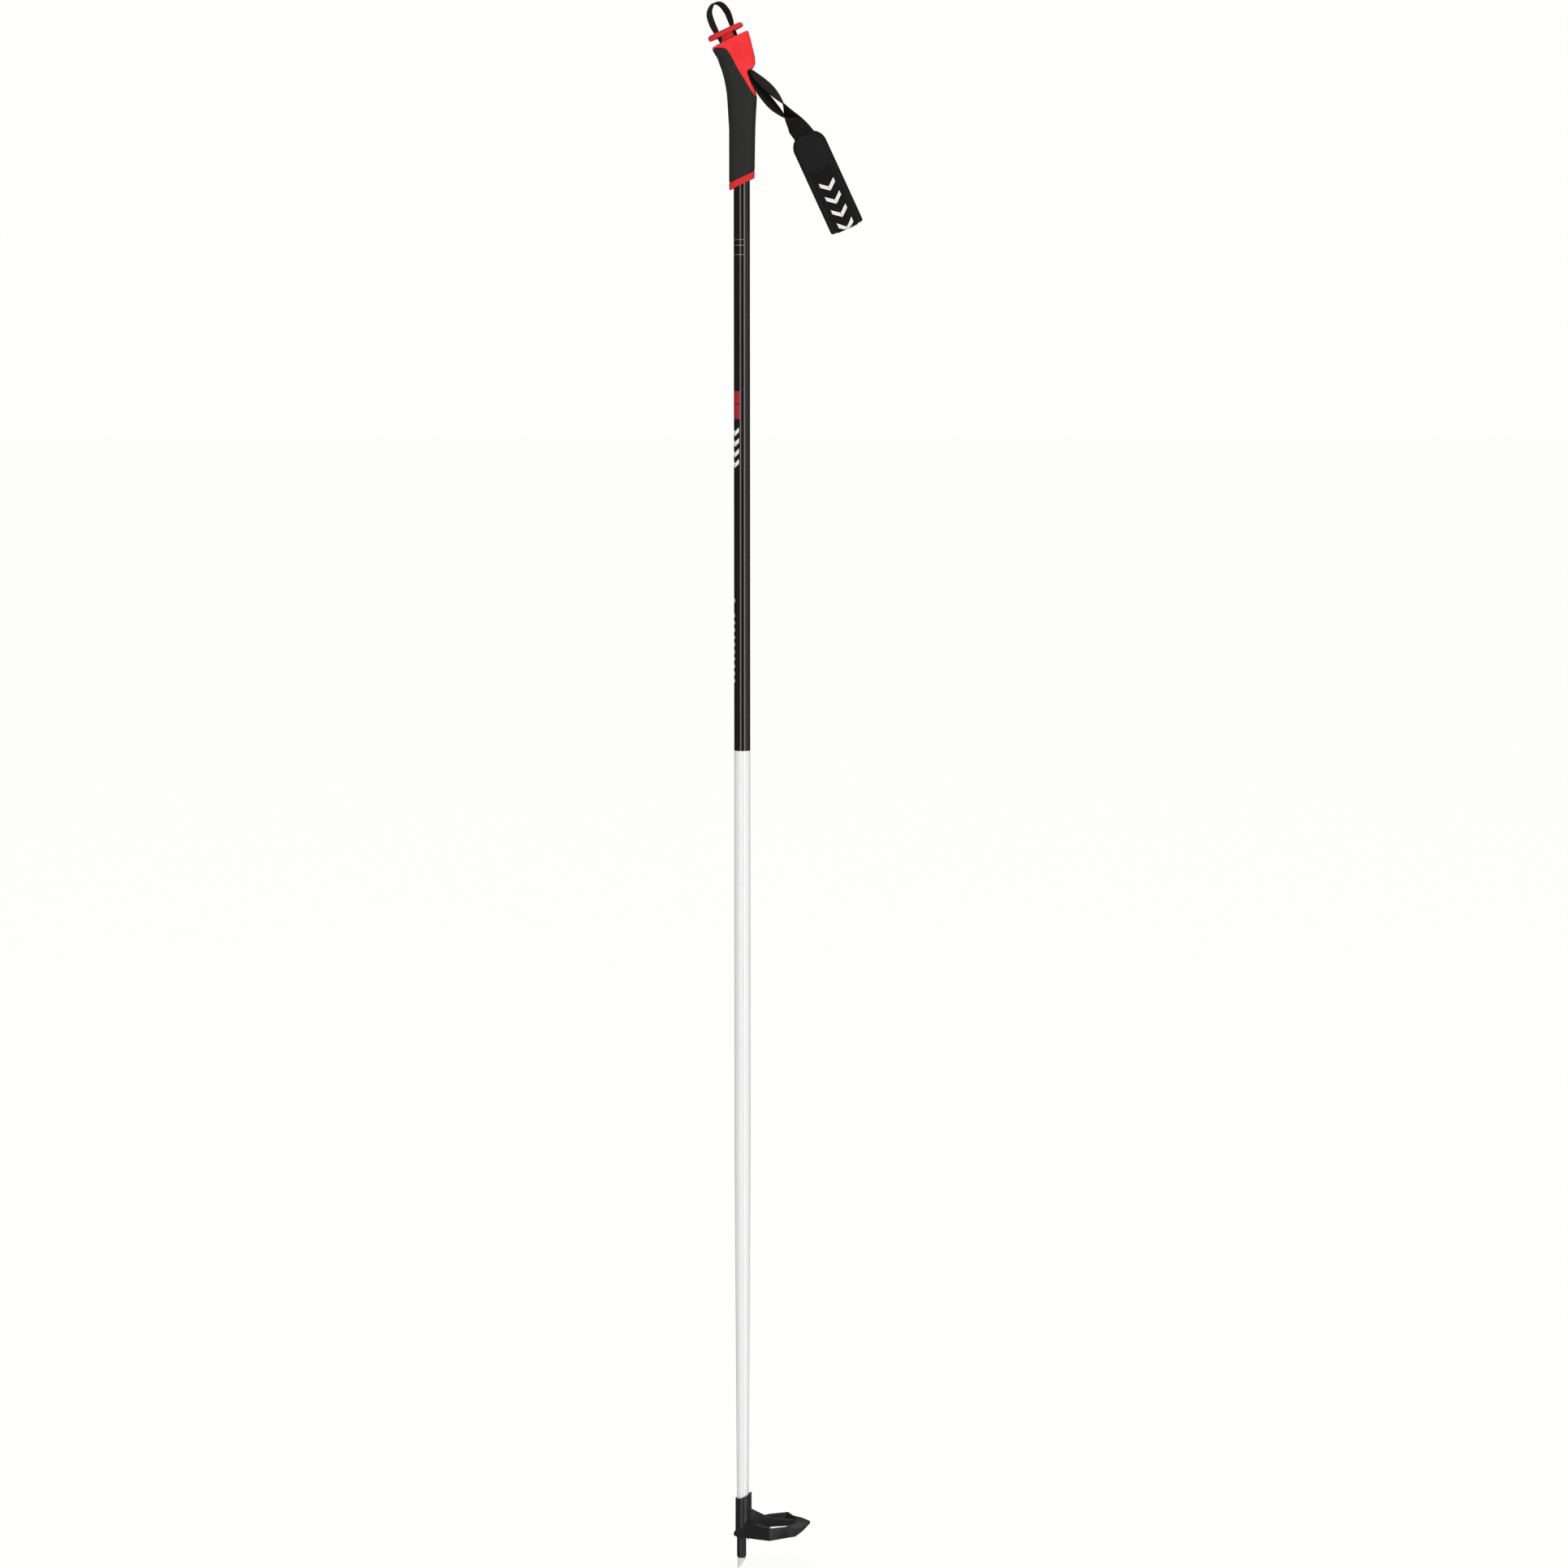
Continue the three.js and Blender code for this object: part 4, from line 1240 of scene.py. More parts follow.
# ---- the wedge and the pull loop ------------------------------------------------------------------
@dataclass
class StrapLock:
    """The wedge that locks the strap in the head, and the pull loop above it."""

    palette: Palette
    frame: Leaning = Leaning(-15.9, 1539.1, 25.0)
    cap_length: float = 37.1
    cap_width: float = 23.4
    cap_sides: int = 96
    slot_at: float = 8.1
    slot_half: float = 1.6
    slot_half_width: float = 9.7
    slot_reach: float = 9.0
    loop_thickness: float = 1.9
    tongue: tuple = ((-6.4, 0), (-6.3, -8.5), (0.2, -27.5), (3.2, -27.5), (6.3, -9.0), (6.4, 0))
    tongue_half_width: float = 8.0
    way: tuple = ((-10.3, -6.5), (-10.3, -21.5), (2.2, -44.0), (6.7, -42.3), (10.3, -21.5), (10.3, -6.5))
    channel_half: float = 10.1
    profile: tuple = (
        (-2.65, 1.7),
        (-2.5, 0.9),
        (-1.9, 0.15),
        (-1.2, 0.0),
        (0.5, 0.0),
        (0.9, 0.25),
        (2.1, 0.9),
        (2.55, 1.5),
        (2.65, 2.4),
    )

    def placed(self, shell: Shell) -> Shell:
        """A shell made in the wedge's frame, moved to the pole's."""
        shell.points = [self.frame.world(points) for points in shell.points]
        return shell

    def channel(self) -> bpy.types.Object:
        """The way through the head, from its top face to the slot at its rear."""
        return self.placed(Shell().prism(self.way, self.channel_half)).make("channel")

    def cap(self) -> bpy.types.Object:
        """The oval cap with its two slots, and the tongue below it."""
        angles = circle(self.cap_sides)
        straight = (self.cap_length - self.cap_width) / 2
        rows = []
        for height, inset in self.profile:
            radius = self.cap_width / 2 - inset
            x = radius * np.cos(angles) + straight * np.clip(np.cos(angles) * 6, -1, 1)
            rows.append(np.stack([x, radius * np.sin(angles), np.full(self.cap_sides, height)], 1))
        cap = self.placed(Shell().loft(np.array(rows))).make("wedge_and_cap")
        rib = self.placed(Shell().prism(self.tongue, self.tongue_half_width)).make("tongue")
        eased_edges(rib, 0.7, 30)
        combined(cap, [rib], "UNION")
        cutters = []
        for side in (-1, 1):
            low, high = side * self.slot_at - self.slot_half, side * self.slot_at + self.slot_half
            deep = self.slot_reach
            slot = [(low, -deep), (high, -deep), (high, deep), (low, deep)]
            cutter = self.placed(Shell().prism(slot, self.slot_half_width)).make(f"slot_{side}")
            cutters.append(eased_edges(cutter, 0.6, 30))
        return combined(cap, cutters, "DIFFERENCE", 40)

    def loop(self) -> Ribbon:
        """The pull loop's webbing, up through one slot, over and down the other."""
        stations = (
            (-8.1, 0, -16, 1), (-8.1, 0, -9, 3), (-8.2, 0, -2, 7), (-8.4, 0, 5, 13),
            (-8.5, 0, 13.6, 16), (-6.5, 0, 23.4, 14), (0.3, 0, 29.3, 6), (6.9, 0, 26.2, -10),
            (9.7, 0, 17.3, -15), (9.2, 0, 7.8, -13), (8.3, 0, 2, -8), (8.1, 0, -4, -5),
            (8.1, 0, -10, -3), (8.1, 0, -16, -1),
        )
        return Ribbon(stations, thickness=self.loop_thickness, steps=150)

    def build(self) -> None:
        """Makes the wedge and the loop."""
        # The wedge cap takes the red with painted shade, darker than the head's red.
        dressed(self.cap(), self.palette.red_painted_shade, Body.WEDGE, "strap_wedge")
        ribbon = self.loop()
        made = self.placed(ribbon.shell()).make("pull_loop_webbing", 50)
        dressed(made, self.palette.webbing, Body.WEDGE, "pull_loop")
        flat = (ribbon.width * MM, ribbon.length() * MM)


# ---- the strap's two strands ----------------------------------------------------------------------
@dataclass
class Strands:
    """The two runs of webbing from the grip to the pad, each split where they cross."""

    palette: Palette
    upper: tuple = (
        (6.4, 0, 1502.9, 2), (9.6, 0, 1500.2, 12), (13.9, 0, 1495.8, 20), (20.6, 0, 1490.0, 25),
        (28.4, 0, 1482.9, 25), (35.2, 0.4, 1475.8, 16), (41.0, 0.8, 1469.0, 0),
        (44.8, 1.0, 1462.1, -20), (48.8, 1.2, 1455.4, -42), (53.6, 1.2, 1448.6, -64),
        (58.6, 1.0, 1442.6, -80), (62.8, 0.8, 1437.4, -88), (65.6, 0.8, 1432.4, -90),
    )
    lower: tuple = (
        (5.4, 0, 1500.9, 4), (8.6, 0, 1498.2, 16), (12.9, 0, 1491.2, 24), (17.9, 0, 1483.2, 27),
        (24.6, 0, 1474.2, 28), (31.4, 0, 1466.3, 25), (38.6, -0.6, 1459.2, 13), (45.0, -1.2, 1453.6, -4),
        (50.0, -1.4, 1449.8, -42), (54.2, -1.2, 1446.0, -72), (58.4, -1.0, 1441.2, -88),
        (61.8, -0.8, 1435.9, -90), (64.0, -0.8, 1431.6, -90),
    )
    width: float = 19.6
    splits: tuple[float, float] = (0.5, 7 / 12)
    swing_bend: tuple = ((6.3, 0.0, 1501.6), (15.3, 0.0, 1493.5))
    hinge_bend: tuple = ((57.6, 0.0, 1448.4), (62.7, 0.0, 1437.5))

    def build(self) -> None:
        """Makes four pieces: the grip end and the pad end of each strand."""
        for name, stations, split in zip(("upper", "lower"), (self.upper, self.lower), self.splits):
            ribbon = Ribbon(stations, self.width, steps=80)
            grip_end = ribbon.shell(0, split).make(f"strand_{name}_grip_end", 50)
            dressed(grip_end, self.palette.webbing)
            self.bent(grip_end, Body.POLE, Body.WEBBING, self.swing_bend)
            pad_end = ribbon.shell(split, 1).make(f"strand_{name}_pad_end", 50)
            dressed(pad_end, self.palette.webbing, None, f"strap_strand_{name}")
            self.bent(pad_end, Body.WEBBING, Body.PAD, self.hinge_bend)
            for made, span in ((grip_end, (0, split)), (pad_end, (split, 1))):
                flat = (ribbon.width * MM, ribbon.length(*span) * MM)

    @staticmethod
    def bent(made: bpy.types.Object, first: Body, second: Body, span: tuple) -> None:
        """Bakes a strand's transform into its mesh."""
        start, end = (tuple(v * MM for v in point) for point in span)
        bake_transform(made)
        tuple(start)
        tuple(end)


# ---- the hand pad ---------------------------------------------------------------------------------
@dataclass
class Pad:
    """The folded hand pad, in its own frame: u runs across it, s down the near face and up the far one."""

    palette: Palette
    frame: Leaning = Leaning(61.0, 1441.1, 24.8)
    top: float = -2.5
    fold_at: float = -95.5
    fold_run: float = 22.0
    half: float = 15.4
    corner: float = 12.7
    tape_half: float = 11.2
    cover_end: float = 36.0
    columns: int = 33
    band: Point = (0.9, 4.1)
    cover: Point = (4.1, 4.9)
    tape: Point = (4.2, 5.4)
    lining: Point = (0.0, 0.6)
    lining_from: float = 15.5
    lining_margin: float = 1.4
    cover_margin: float = 0.9
    cover_tuck: float = 0.8
    tape_gap: float = 0.3
    gap: Smooth = field(init=False)
    straight: float = field(init=False)
    run: float = field(init=False)

    def __post_init__(self) -> None:
        """Works out the lengths and the gap between the two faces."""
        self.gap = Smooth([(-200, 3.0), (-48, 3.0), (-30, 2.5), (-14, 1.3), (0, 0.3), (20, 0.3)])
        self.straight = self.top - self.fold_at
        self.run = 2 * self.straight + self.fold_run

    def lay(self, across: np.ndarray, along: np.ndarray, height: np.ndarray | float) -> np.ndarray:
        """Points at a distance across, a distance along and a height above the pad's inner face."""
        given = (np.asarray(v, float) for v in (across, along, height))
        across, along, height = np.broadcast_arrays(*given)
        far = along > self.straight + self.fold_run / 2
        folded = np.clip((along - self.straight) / self.fold_run, 0, 1) * math.pi
        down = np.where(far, self.run - along, along)
        z = self.top - down
        reach = self.gap(z.ravel())[:, 0].reshape(z.shape) + height
        bent = (folded > 0) & (folded < math.pi)
        side = np.where(far, 1.0, -1.0)
        y = np.where(bent, -reach * np.cos(folded), side * reach)
        z = np.where(bent, self.fold_at - reach * np.sin(folded), z)
        return self.frame.world(np.stack([across, y, z], -1))

    def rounded_half(self, along: np.ndarray, half: float) -> np.ndarray:
        """The half width at a distance along, narrowing round the corners at both ends."""
        return half - rolled(np.minimum(along, self.run - along), self.corner)

    def layer(
        self,
        span: tuple[float, float],
        half: Callable[[np.ndarray], np.ndarray],
        heights: tuple[float, float],
        puff: Callable[[np.ndarray, np.ndarray], np.ndarray],
    ) -> Shell:
        """A soft layer of the pad, with rounded edges.

        Args:
            span: Where it starts and ends along the pad.
            half: Its half width at each distance along.
            heights: Its inner and outer faces.
            puff: How far its outer face swells, from (share across, along).

        Returns:
            The layer's shell.
        """
        start, end = span
        low, high = heights
        thick = high - low
        near_ends = np.array([0.0, 0.06, 0.2, 0.45, 0.8]) * thick
        body = np.linspace(start + thick, end - thick, 2 + int((end - start) / 1.1))
        places = np.concatenate([start + near_ends, body, end - near_ends[::-1]])
        shares = np.sin(np.linspace(-math.pi / 2, math.pi / 2, self.columns))
        rows, weaves = [], []
        for along in places:
            width = float(half(np.array([along]))[0])
            inward = np.minimum(min(along - start, end - along), (1 - np.abs(shares)) * width)
            bulge = np.clip(1 - inward / (thick / 2), 0, 1)
            rim = (thick / 2) * (1 - np.sqrt(1 - bulge**2))
            over = high - rim + puff(shares, np.full(self.columns, along)) * (1 - bulge)
            u = shares * width
            upper = self.lay(u, along, over)
            lower = self.lay(u, along, low + rim)
            rows.append(np.concatenate([upper, lower[::-1]]))
            flat = np.stack([np.full(self.columns, along), u, np.zeros(self.columns)], 1)
            weaves.append(np.concatenate([flat, flat[::-1]]))
        return Shell().loft(np.array(rows), np.array(weaves))

    def band_puff(self, share: np.ndarray, along: np.ndarray) -> np.ndarray:
        """Soft margins beside the tape, nipped at the seams and at the fold."""
        u = np.abs(share) * self.half
        margin = np.sin(np.clip((u - self.tape_half) / (self.half - self.tape_half), 0, 1) * math.pi)
        ripple = 0.75 + 0.25 * np.sin(along * 0.55 + share * 2.0) * np.sin(along * 0.21)
        return 0.95 * margin * ripple

    def cover_puff(self, share: np.ndarray, along: np.ndarray) -> np.ndarray:
        """A padded swell with two faint dents down its middle."""
        down = np.minimum(along, self.run - along)
        swell = (1 - share**2) * np.sin(np.clip(down / self.cover_end, 0, 1) * math.pi) ** 0.7
        dents = 0.28 * np.exp(-(((share - 0.12) / 0.1) ** 2)) * np.exp(-(((down - 17) / 9) ** 2))
        dents += 0.22 * np.exp(-(((share + 0.42) / 0.13) ** 2)) * np.exp(-(((down - 11) / 6) ** 2))
        return 0.9 * swell - dents

    def tape_puff(self, share: np.ndarray, along: np.ndarray) -> np.ndarray:
        """A nearly flat tape, with slight waves from being sewn down."""
        return 0.16 * np.sin(along * 0.42 + 1.3 * share) * (1 - share**4) + 0.15 * (1 - share**2)

    def binding(self, side: int) -> Shell:
        """A narrow bound edge: from the near top, down one side, round the fold and up to the far top."""
        steps = 170
        turn = np.concatenate([[math.pi / 2], np.linspace(math.pi / 2, 0, 14)])
        bend = self.half - self.corner + self.corner * np.cos(turn)
        bend[0] = 0.1
        down = np.linspace(self.corner, self.run / 2, steps + 1)[1:]
        u = np.concatenate([bend, np.full(steps, self.half)])
        s = np.concatenate([self.corner - self.corner * np.sin(turn), down])
        out_across = np.concatenate([np.cos(turn), np.ones(steps)])
        out_along = np.concatenate([-np.sin(turn), np.zeros(steps)])
        out = np.stack([out_across, out_along], 1)
        u = np.concatenate([u, u[-2::-1]])
        s = np.concatenate([s, self.run - s[-2::-1]])
        out = np.concatenate([out, out[-2::-1] * [1, -1]])
        run = distances(np.stack([u, s], 1))
        section = [(-1.6, 4.0), (-1.2, 4.3), (0.2, 4.35), (1.1, 3.9), (1.6, 3.0), (1.7, 2.4), (1.6, 1.8)]
        section += [(1.1, 0.95), (0.2, 0.5), (-1.2, 0.55), (-1.6, 0.8)]
        outward, height = np.array(section).T
        across = side * (u[:, None] + out[:, :1] * outward)
        along = s[:, None] + out[:, 1:] * outward
        rows = self.lay(across, along, height)
        weave = np.zeros_like(rows)
        weave[..., 0] = run[:, None]
        weave[..., 1] = np.linspace(0, 9, len(section))
        return Shell().loft(rows, weave)

    def chevrons(self) -> list[Strip]:
        """Bold arrowheads with a fine line down each limb, repeated along the tape."""
        strips = []
        for at in np.arange(self.cover_end + 13.5, self.run - self.cover_end - 14.0, 14.2):
            for side in (-1, 1):
                for shift in (0.0, 2.3):
                    middle, wing = (side * 0.15, at + shift + 6.4), (side * 7.9, at + shift)
                    second = [(x, z + 2.0) for x, z in (middle, wing)]
                    strips.append(Strip.between([middle, wing], second, 8))
        return strips

    def outer(self, across: np.ndarray, along: np.ndarray, lift: float) -> np.ndarray:
        """Points on the tape's outer face."""
        height = self.tape[1] + self.tape_puff(across / self.tape_half, along) + lift
        return self.lay(across, along, height)

    def seams(self) -> list[np.ndarray]:
        """The lines of stitching along the tape, across the covers' ends and inside the bindings."""
        lines = []
        along = np.linspace(self.cover_end + 1, self.run - self.cover_end - 1, 240)
        for side in (-1, 1):
            lines.append(self.outer(np.full(240, side * (self.tape_half - 1.1)), along, 0.05))
        across = np.linspace(-self.tape_half + 1, self.tape_half - 1, 40)
        for end in (self.cover_end + 1.8, self.run - self.cover_end - 1.8):
            lines.append(self.outer(across, np.full(40, end), 0.05))
        edge = np.linspace(self.corner, self.run - self.corner, 260)
        for side in (-1, 1):
            lines.append(self.lay(np.full(260, side * (self.half - 0.9)), edge, 4.38))
        return lines

    def rounded(self, half: float) -> Width:
        """The half width of a layer with rounded ends, at a distance along it."""
        return lambda along: self.rounded_half(along, half)

    @staticmethod
    def even(half: float) -> Width:
        """The half width of a layer that is as wide at its ends as in its middle."""
        return lambda along: np.full(len(along), half)

    @staticmethod
    def level(share: np.ndarray, along: np.ndarray) -> np.ndarray:
        """A face that does not swell."""
        return 0 * share

    def build(self) -> None:
        """Makes the pad's layers, bindings, print and stitching."""
        shell = self.layer((0.0, self.run), self.rounded(self.half), self.band, self.band_puff)
        band = shell.make("hand_pad", 60)
        dressed(band, self.palette.fabric, Body.PAD, "pad_band")
        self.build_lining()
        half = self.half - self.cover_margin
        start, end = self.cover_margin, self.cover_end + self.cover_tuck
        spans = {Side.NEAR: (start, end), Side.FAR: (self.run - end, self.run - start)}
        for side, span in spans.items():
            name = f"cover_{side.name.lower()}"
            cover = self.layer(span, self.rounded(half), self.cover, self.cover_puff).make(name, 60)
            dressed(cover, self.palette.fabric, Body.PAD, f"pad_{name}")
        self.build_tape()
        for side, name in ((-1, "front"), (1, "rear")):
            edge = self.binding(side).make(f"binding_{name}", 60)
            dressed(edge, self.palette.binding, Body.PAD, f"pad_binding_{name}")

    def build_lining(self) -> None:
        """Makes the thin lining inside the hand loop."""
        half = self.half - self.lining_margin
        span = (self.lining_from, self.run - self.lining_from)
        shell = self.layer(span, self.even(half), self.lining, self.level)
        lining = shell.make("pad_inner_lining", 60)
        dressed(lining, self.palette.lining, Body.PAD, "pad_lining")
        flat = (2 * half * MM, (span[1] - span[0]) * MM)

    def build_tape(self) -> None:
        """Makes the tape with its print, and the pad's stitching."""
        span = (self.cover_end + self.tape_gap, self.run - self.cover_end - self.tape_gap)
        shell = self.layer(span, self.even(self.tape_half), self.tape, self.tape_puff)
        tape = shell.make("centre_tape", 60)
        dressed(tape, self.palette.tape, Body.PAD, "pad_tape")
        flat = (2 * self.tape_half * MM, (span[1] - span[0]) * MM)
        chevrons = film(self.chevrons(), self.outer, 0.12).make("tape_chevrons")
        dressed(chevrons, self.palette.print_white, Body.PAD)
        seams = stitches(self.seams(), 2.6, 0.34).make("pad_stitching", 60)
        dressed(seams, self.palette.thread, Body.PAD)


# ---- the basket and the tip -----------------------------------------------------------------------
@dataclass
class Basket:
    """The half-moon basket on its sleeve, with a spine, a deck and a closed faceted rim."""

    palette: Palette
    sleeve_top: float = 73.6
    sleeve_slope: float = 0.351
    bore: float = 6.35

    rim: tuple = (
        # outer foot, outer top, inner top, inner foot; each (x, y, z)
        ((-9.4, 0.0, 34.4), (-9.1, 0.0, 36.4), (-2.0, 0.0, 45.0), (-2.0, 0.0, 34.0)),
        ((-9.0, -3.4, 34.2), (-8.6, -3.3, 36.6), (-1.6, -1.6, 45.4), (-1.6, -1.6, 34.0)),
        ((-7.4, -7.2, 34.0), (-6.8, -6.9, 37.6), (-0.8, -2.6, 46.4), (-0.8, -2.6, 34.0)),
        ((-3.8, -10.6, 33.9), (-3.0, -9.6, 40.6), (1.0, -3.2, 47.6), (1.0, -3.2, 34.4)),
        ((2.0, -13.4, 33.9), (3.4, -10.4, 45.6), (4.0, -3.4, 49.0), (4.0, -3.4, 35.4)),
        ((9.0, -18.6, 34.2), (9.8, -15.6, 48.0), (8.0, -3.6, 49.6), (8.0, -3.6, 36.4)),
        ((27.0, -32.0, 35.3), (27.0, -31.6, 47.8), (29.2, -28.4, 47.6), (29.2, -28.2, 38.0)),
        ((45.0, -33.0, 38.8), (45.8, -32.6, 49.5), (43.2, -28.6, 49.3), (42.8, -28.0, 41.0)),
        ((53.0, -26.3, 38.4), (52.8, -26.0, 46.2), (49.0, -20.5, 49.3), (47.4, -20.0, 42.0)),
        ((60.5, -20.0, 42.6), (60.4, -19.6, 46.6), (52.6, -12.5, 49.4), (51.2, -12.0, 43.4)),
        ((68.0, -3.4, 46.6), (67.9, -3.4, 47.3), (54.2, -4.5, 49.4), (53.0, -4.5, 44.0)),
    )

    def rim_shell(self) -> Shell:
        """The rim, from the rounded nose round the near side to the tail and back round the far side."""
        near = np.array(self.rim, float)
        far = near[:0:-1] * [1, -1, 1]
        return Shell().loft(np.concatenate([near, far]), joined=True)

    def sleeve(self) -> bpy.types.Object:
        """The tapered sleeve, cut aslant at its top, with a squared rib up its rear."""
        profile = [(7.0, 32.4, 0), (7.5, 33.2, 0), (7.5, 46.0, 0), (7.45, 60.0, 0), (7.4, 90.0, 0)]
        sleeve = Shell().loft(round_rows(profile, 64)).make("basket_moulding")
        rib = Shell().prism([(2, 34), (8.9, 34), (8.9, 90), (2, 90)], 3.6).make("rear_rib")
        combined(sleeve, [rib], "UNION")
        across = np.linspace(-12, 12, 13)
        curve = self.sleeve_top + self.sleeve_slope * across + 0.012 * across**2
        outline = [(12, 100), (-12, 100), *zip(across.tolist(), curve.tolist())]
        top = Shell().prism(outline, 12).make("slant")
        return combined(sleeve, [top], "DIFFERENCE")

    def deck(self) -> bpy.types.Object:
        """The plate between the hub and the hole, sloping down to both sides."""
        rows = [
            [(3, -9.5, 34.0), (27.0, -30.5, 36.4), (27.4, -30.2, 46.4), (4, -7, 49.6)],
            [(3, -3, 33.4), (17.5, -18.0, 36.4), (17.5, -18.2, 46.6), (4, -3, 50.0)],
            [(3, 0, 33.2), (21.6, 0, 36.4), (22.2, 0, 46.4), (4, 0, 50.2)],
        ]
        near = np.array(rows, float)
        far = near[1::-1] * [1, -1, 1]
        return Shell().loft(np.concatenate([near, far])).make("deck")

    def spine(self) -> bpy.types.Object:
        """The gusset from the sleeve and the spine across the hole."""
        outline = [
            (4.0, 70.0), (8.6, 69.0), (8.9, 60.3), (22.3, 53.7), (32.0, 51.2), (54.0, 49.2),
            (54.0, 44.0), (30.0, 42.6), (4.0, 38.0),
        ]
        return Shell().prism(outline, 2.2).make("spine")

    def fin(self) -> bpy.types.Object:
        """A short fin under the hub, behind the ferrule."""
        return Shell().prism([(1.0, 36), (1.0, 28), (3.7, 27.0), (8.2, 33.0), (10.0, 36)], 1.4).make("fin")

    def build(self) -> None:
        """Joins the basket's shapes, rounds their edges and cuts the tube's bore."""
        body = self.sleeve()
        rim = self.rim_shell().make("rim")
        combined(body, [rim, self.deck(), self.spine(), self.fin()], "UNION", 25)
        eased_edges(body, 0.45, 22, 28)
        hole = [(5.0, 20.0, 0), (5.0, 43.6, 0), (self.bore, 43.7, 0), (self.bore + 0.2, 95.0, 0)]
        bore = Shell().loft(round_rows(hole, 48)).make("bore")
        combined(body, [bore], "DIFFERENCE", 28)
        dressed(body, self.palette.basket, Body.POLE, "basket")


@dataclass
class Tip:
    """The ferrule under the basket and the hardened spike in it."""

    palette: Palette
    x: float = -1.3
    radius: float = 4.7
    foot: float = 11.1
    spike_radius: float = 4.05
    tip_x: float = -4.5
    tip_radius: float = 1.0
    cone_radius: float = 3.75
    cone_height: float = 8.6
    lean_height: float = 9.5
    corner: float = 1.5
    groove_depth: float = 0.75
    cutter: float = 9.0
    sides: int = 64

    def build(self) -> None:
        """Makes the ferrule, grooved down its near side, and the spike."""
        profile = [(2.0, self.foot, self.x)]
        for angle in np.linspace(0, math.pi / 2, 7):
            radius = self.radius - self.corner + self.corner * math.sin(angle)
            profile.append((radius, self.foot + self.corner - self.corner * math.cos(angle), self.x))
        profile += [(self.radius, 32.0, self.x), (4.3, 33.0, -0.6), (4.3, 59.8, 0)]
        ferrule = Shell().loft(round_rows(profile, self.sides)).make("ferrule", 40)
        front, rear = self.x + 1.1, self.x + 2.0
        groove = Shell().prism([(front, 13.5), (rear, 13.5), (rear, 40), (front, 40)], self.cutter)
        middle = np.array([0.0, self.groove_depth - self.radius - self.cutter, 0.0])
        groove.points = [points + middle for points in groove.points]
        cutter = eased_edges(groove.make("groove"), 0.35, 30)
        combined(ferrule, [cutter], "DIFFERENCE", 40)
        dressed(ferrule, self.palette.basket, Body.POLE, "tip_ferrule")
        spike = Shell().loft(round_rows(self.spike(), self.sides)).make("spike", 40)
        dressed(spike, self.palette.steel, Body.POLE, "tip_spike")

    def lean(self, z: float) -> float:
        """The middle of the cone at a height: its point stands ahead of the ferrule's axis."""
        return self.tip_x + (self.x - self.tip_x) * z / self.lean_height

    def spike(self) -> list[tuple[float, float, float]]:
        """The spike's loops: a cone that leans to its point, a collar and a shank."""
        lean = self.lean
        cone = [(0.3, 0.0, lean(0)), (0.8, 0.12, lean(0)), (self.tip_radius, 0.4, lean(0.4))]
        widening = self.cone_radius - self.tip_radius
        for z in np.linspace(1.0, self.cone_height, 12):
            cone.append((self.tip_radius + widening * z / self.cone_height, z, lean(z)))
        cone += [(self.spike_radius, 9.1, self.x), (self.spike_radius, 10.4, self.x), (3.7, 10.8, self.x)]
        return cone + [(1.5, 10.8, self.x), (1.5, 34.0, self.x)]


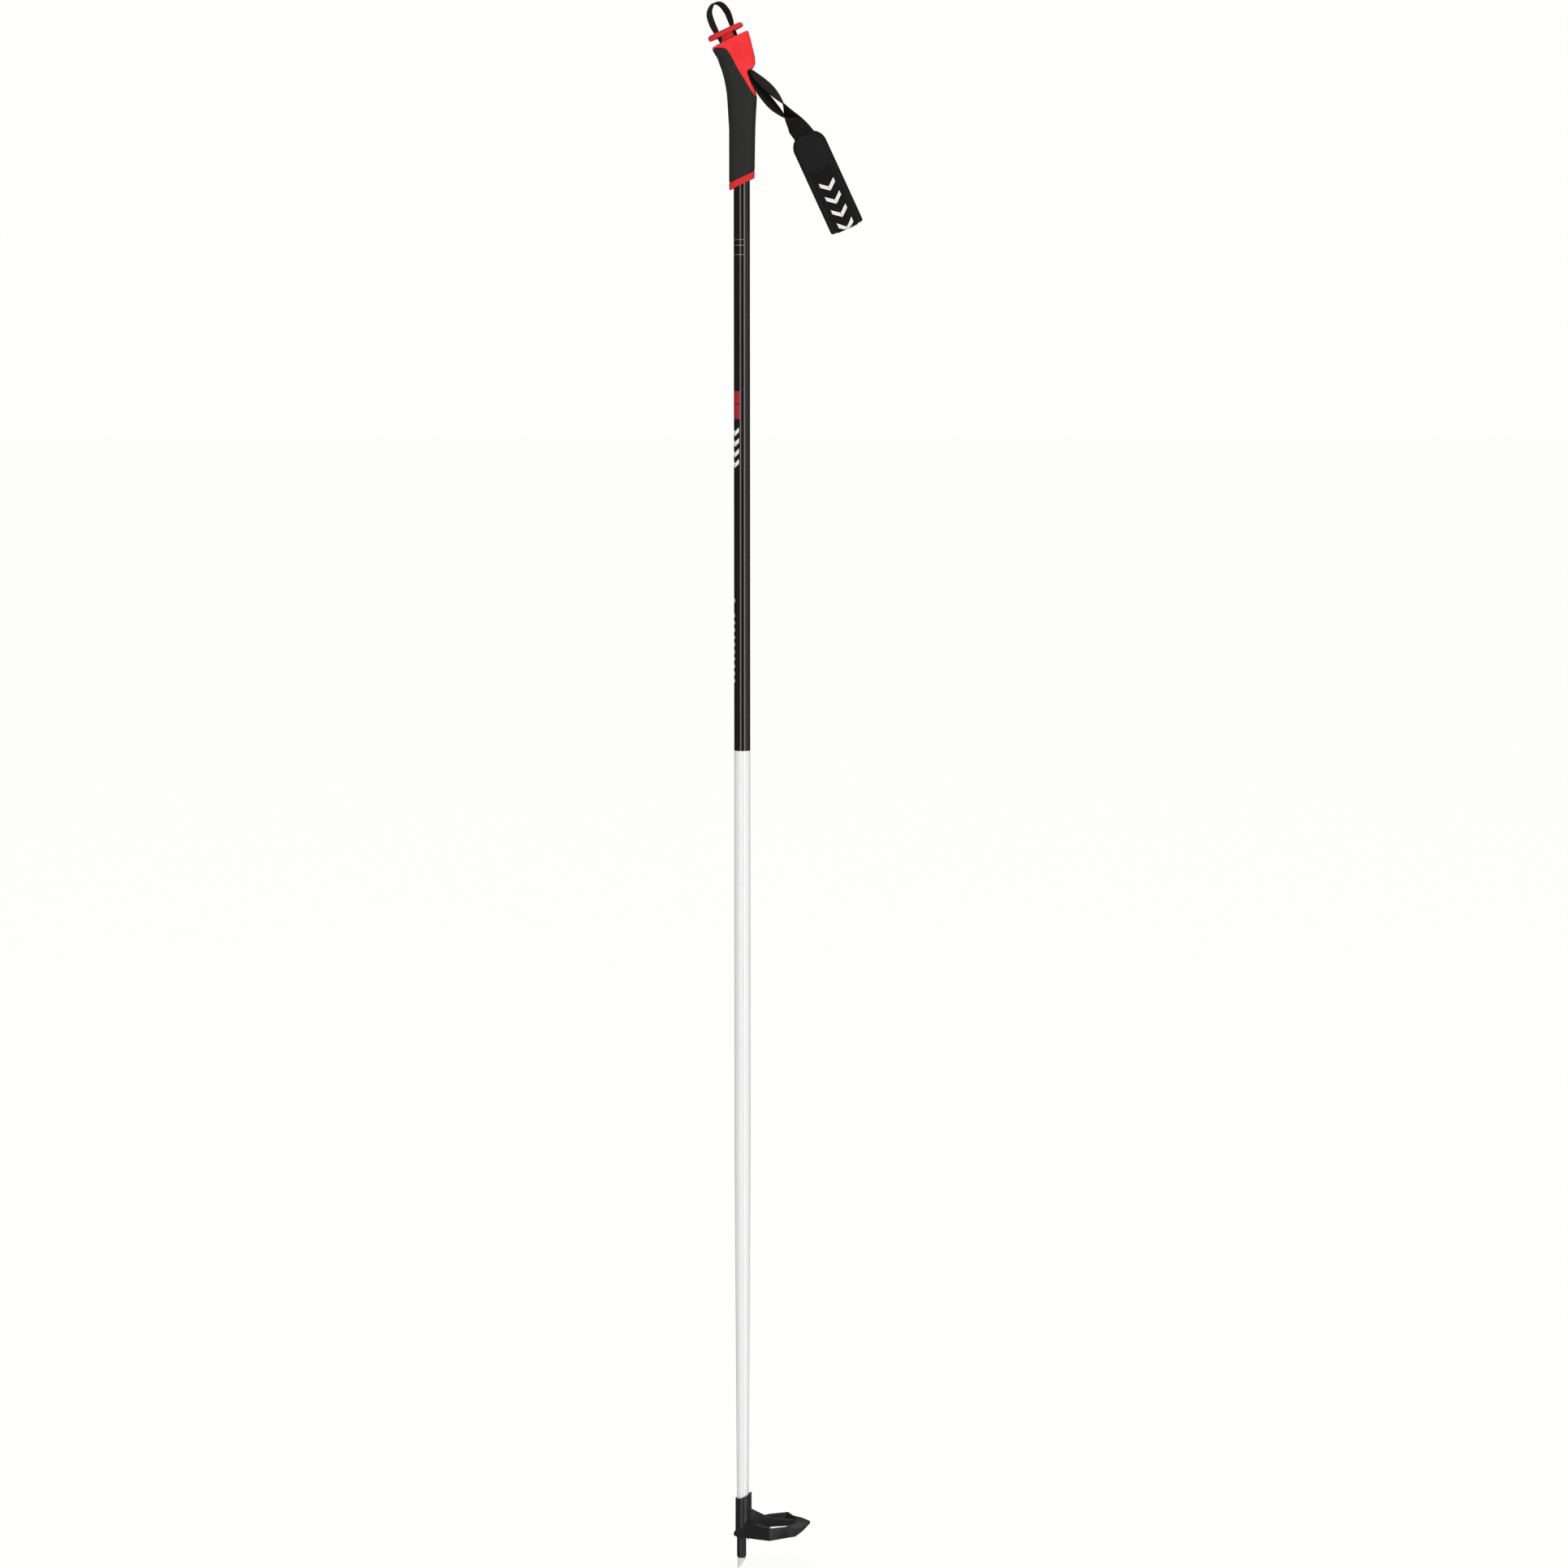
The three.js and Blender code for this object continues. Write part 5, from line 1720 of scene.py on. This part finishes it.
# ---- the studio -----------------------------------------------------------------------------------
@dataclass
class Studio:
    """The camera, a pale floor, two tall soft strips and the soft surroundings."""

    eye: tuple[float, float, float] = (0.0416, -5.0, 1.287)
    pitch: float = -5.6
    lens: float = 115.74
    sensor: float = 36.0
    # each strip's direction, distance, width and radiance
    strips: tuple = ((-21.0, 6.2, 1.5, 3.6), (37.0, 6.2, 1.6, 3.9))
    white: Colour = (1.0, 0.995, 0.99)
    strip_height: float = 9.0

    def camera(self) -> None:
        """The camera, level across and looking slightly down."""
        data = bpy.data.cameras.new("camera")
        data.lens = self.lens
        data.sensor_width = self.sensor
        data.clip_end = 60.0
        made = bpy.data.objects.new("camera", data)
        made.location = self.eye
        made.rotation_euler = (math.radians(90 + self.pitch), 0, 0)
        bpy.context.scene.collection.objects.link(made)
        bpy.context.scene.camera = made

    def surroundings(self) -> None:
        """A white backdrop to the eye, and soft light that is stronger from the rear side."""
        world = bpy.data.worlds.new("studio")
        world.use_nodes = True
        bpy.context.scene.world = world
        graph = Graph(world.node_tree)
        direction = Signal(graph, graph.node("ShaderNodeTexCoord").outputs["Generated"])
        x, y, z = graph.axes(direction)
        rear = x.between(0.45, 0.95) * (-0.15 - y * 0.5).between(-0.6, 0.3)
        above = z.between(0.25, 0.95)
        behind = y.between(0.0, 0.5)
        light = 0.12 + 0.6 * rear + 1.0 * above - 0.08 * behind
        seen = Signal(graph, graph.node("ShaderNodeLightPath").outputs["Is Camera Ray"])
        strength = light + seen * (1.0 - light)
        shader = graph.node("ShaderNodeBackground", None, {"Color": self.white, "Strength": strength})
        surface = Signal(graph, shader.outputs[0])
        graph.node("ShaderNodeOutputWorld", None, {"Surface": surface})

    def floor(self) -> None:
        """A pale floor that is nearly as white as the backdrop."""
        size = 40.0
        mesh = bpy.data.meshes.new("floor")
        corners = [(-size, -size, 0), (size, -size, 0), (size, size, 0), (-size, size, 0)]
        mesh.from_pydata(corners, [], [(0, 1, 2, 3)])
        made = bpy.data.objects.new("floor", mesh)
        bpy.context.scene.collection.objects.link(made)
        material = bpy.data.materials.new("studio_floor")
        material.use_nodes = True
        graph = Graph(material.node_tree)
        sockets = {
            "Base Color": (0.12, 0.12, 0.12),
            "Roughness": 1.0,
            "Specular IOR Level": 0.0,
            "Emission Color": self.white,
            "Emission Strength": 0.9,
        }
        shader = graph.node("ShaderNodeBsdfPrincipled", None, sockets)
        graph.node("ShaderNodeOutputMaterial", None, {"Surface": Signal(graph, shader.outputs["BSDF"])})
        mesh.materials.append(material)
        made.visible_glossy = False
        made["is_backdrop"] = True

    def light(self, name: str, direction: float, distance: float, width: float, radiance: float) -> None:
        """A tall soft strip that faces the pole.

        Args:
            name: The light's name.
            direction: Its bearing from the camera's side, in degrees, rear side positive.
            distance: How far away it stands, in metres.
            width: Its width, in metres.
            radiance: How bright its face is.
        """
        data = bpy.data.lights.new(name, "AREA")
        data.shape = "RECTANGLE"
        data.size = width
        data.size_y = self.strip_height
        data.energy = radiance * width * self.strip_height * math.pi
        made = bpy.data.objects.new(name, data)
        angle = math.radians(direction)
        made.location = (distance * math.sin(angle), -distance * math.cos(angle), 1.2)
        made.rotation_euler = (math.pi / 2, 0, angle)
        bpy.context.scene.collection.objects.link(made)

    def build(self) -> None:
        """Sets up everything but the camera, which is made first."""
        self.surroundings()
        self.floor()
        for index, (direction, distance, width, radiance) in enumerate(self.strips):
            self.light(f"strip_{index}", direction, distance, width, radiance)
        bpy.context.scene.view_settings.view_transform = "Standard"


def dress_frame(frame: dict, palette: Palette) -> None:
    """Gives the CAD nodes that stay their finishes.

    Args:
        palette: The finishes.
    """
    kept = {
        "grip_glue": palette.glue,
        "basket_glue": palette.glue,
        "channel_webbing_front": palette.webbing,
        "channel_webbing_rear": palette.webbing,
    }
    for name, finish in kept.items():
        dressed(frame["nodes"][name], finish)


def corners() -> list[list[float]]:
    """The shown object's box as plain lists."""
    return [list(corner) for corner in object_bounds()]


def main() -> None:
    """Builds the studio and every piece of the pole, in order."""
    logging.basicConfig(level=logging.INFO, format="%(name)s %(message)s")
    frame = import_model()
    studio = Studio()
    studio.camera()
    palette = Palette()
    lock = StrapLock(palette)
    Shaft(palette).build()
    Grip(palette).build(lock.channel())
    lock.build()
    Strands(palette).build()
    Pad(palette).build()
    Basket(palette).build()
    Tip(palette).build()
    dress_frame(frame, palette)
    studio.build()


if __name__ == "__main__":
    main()
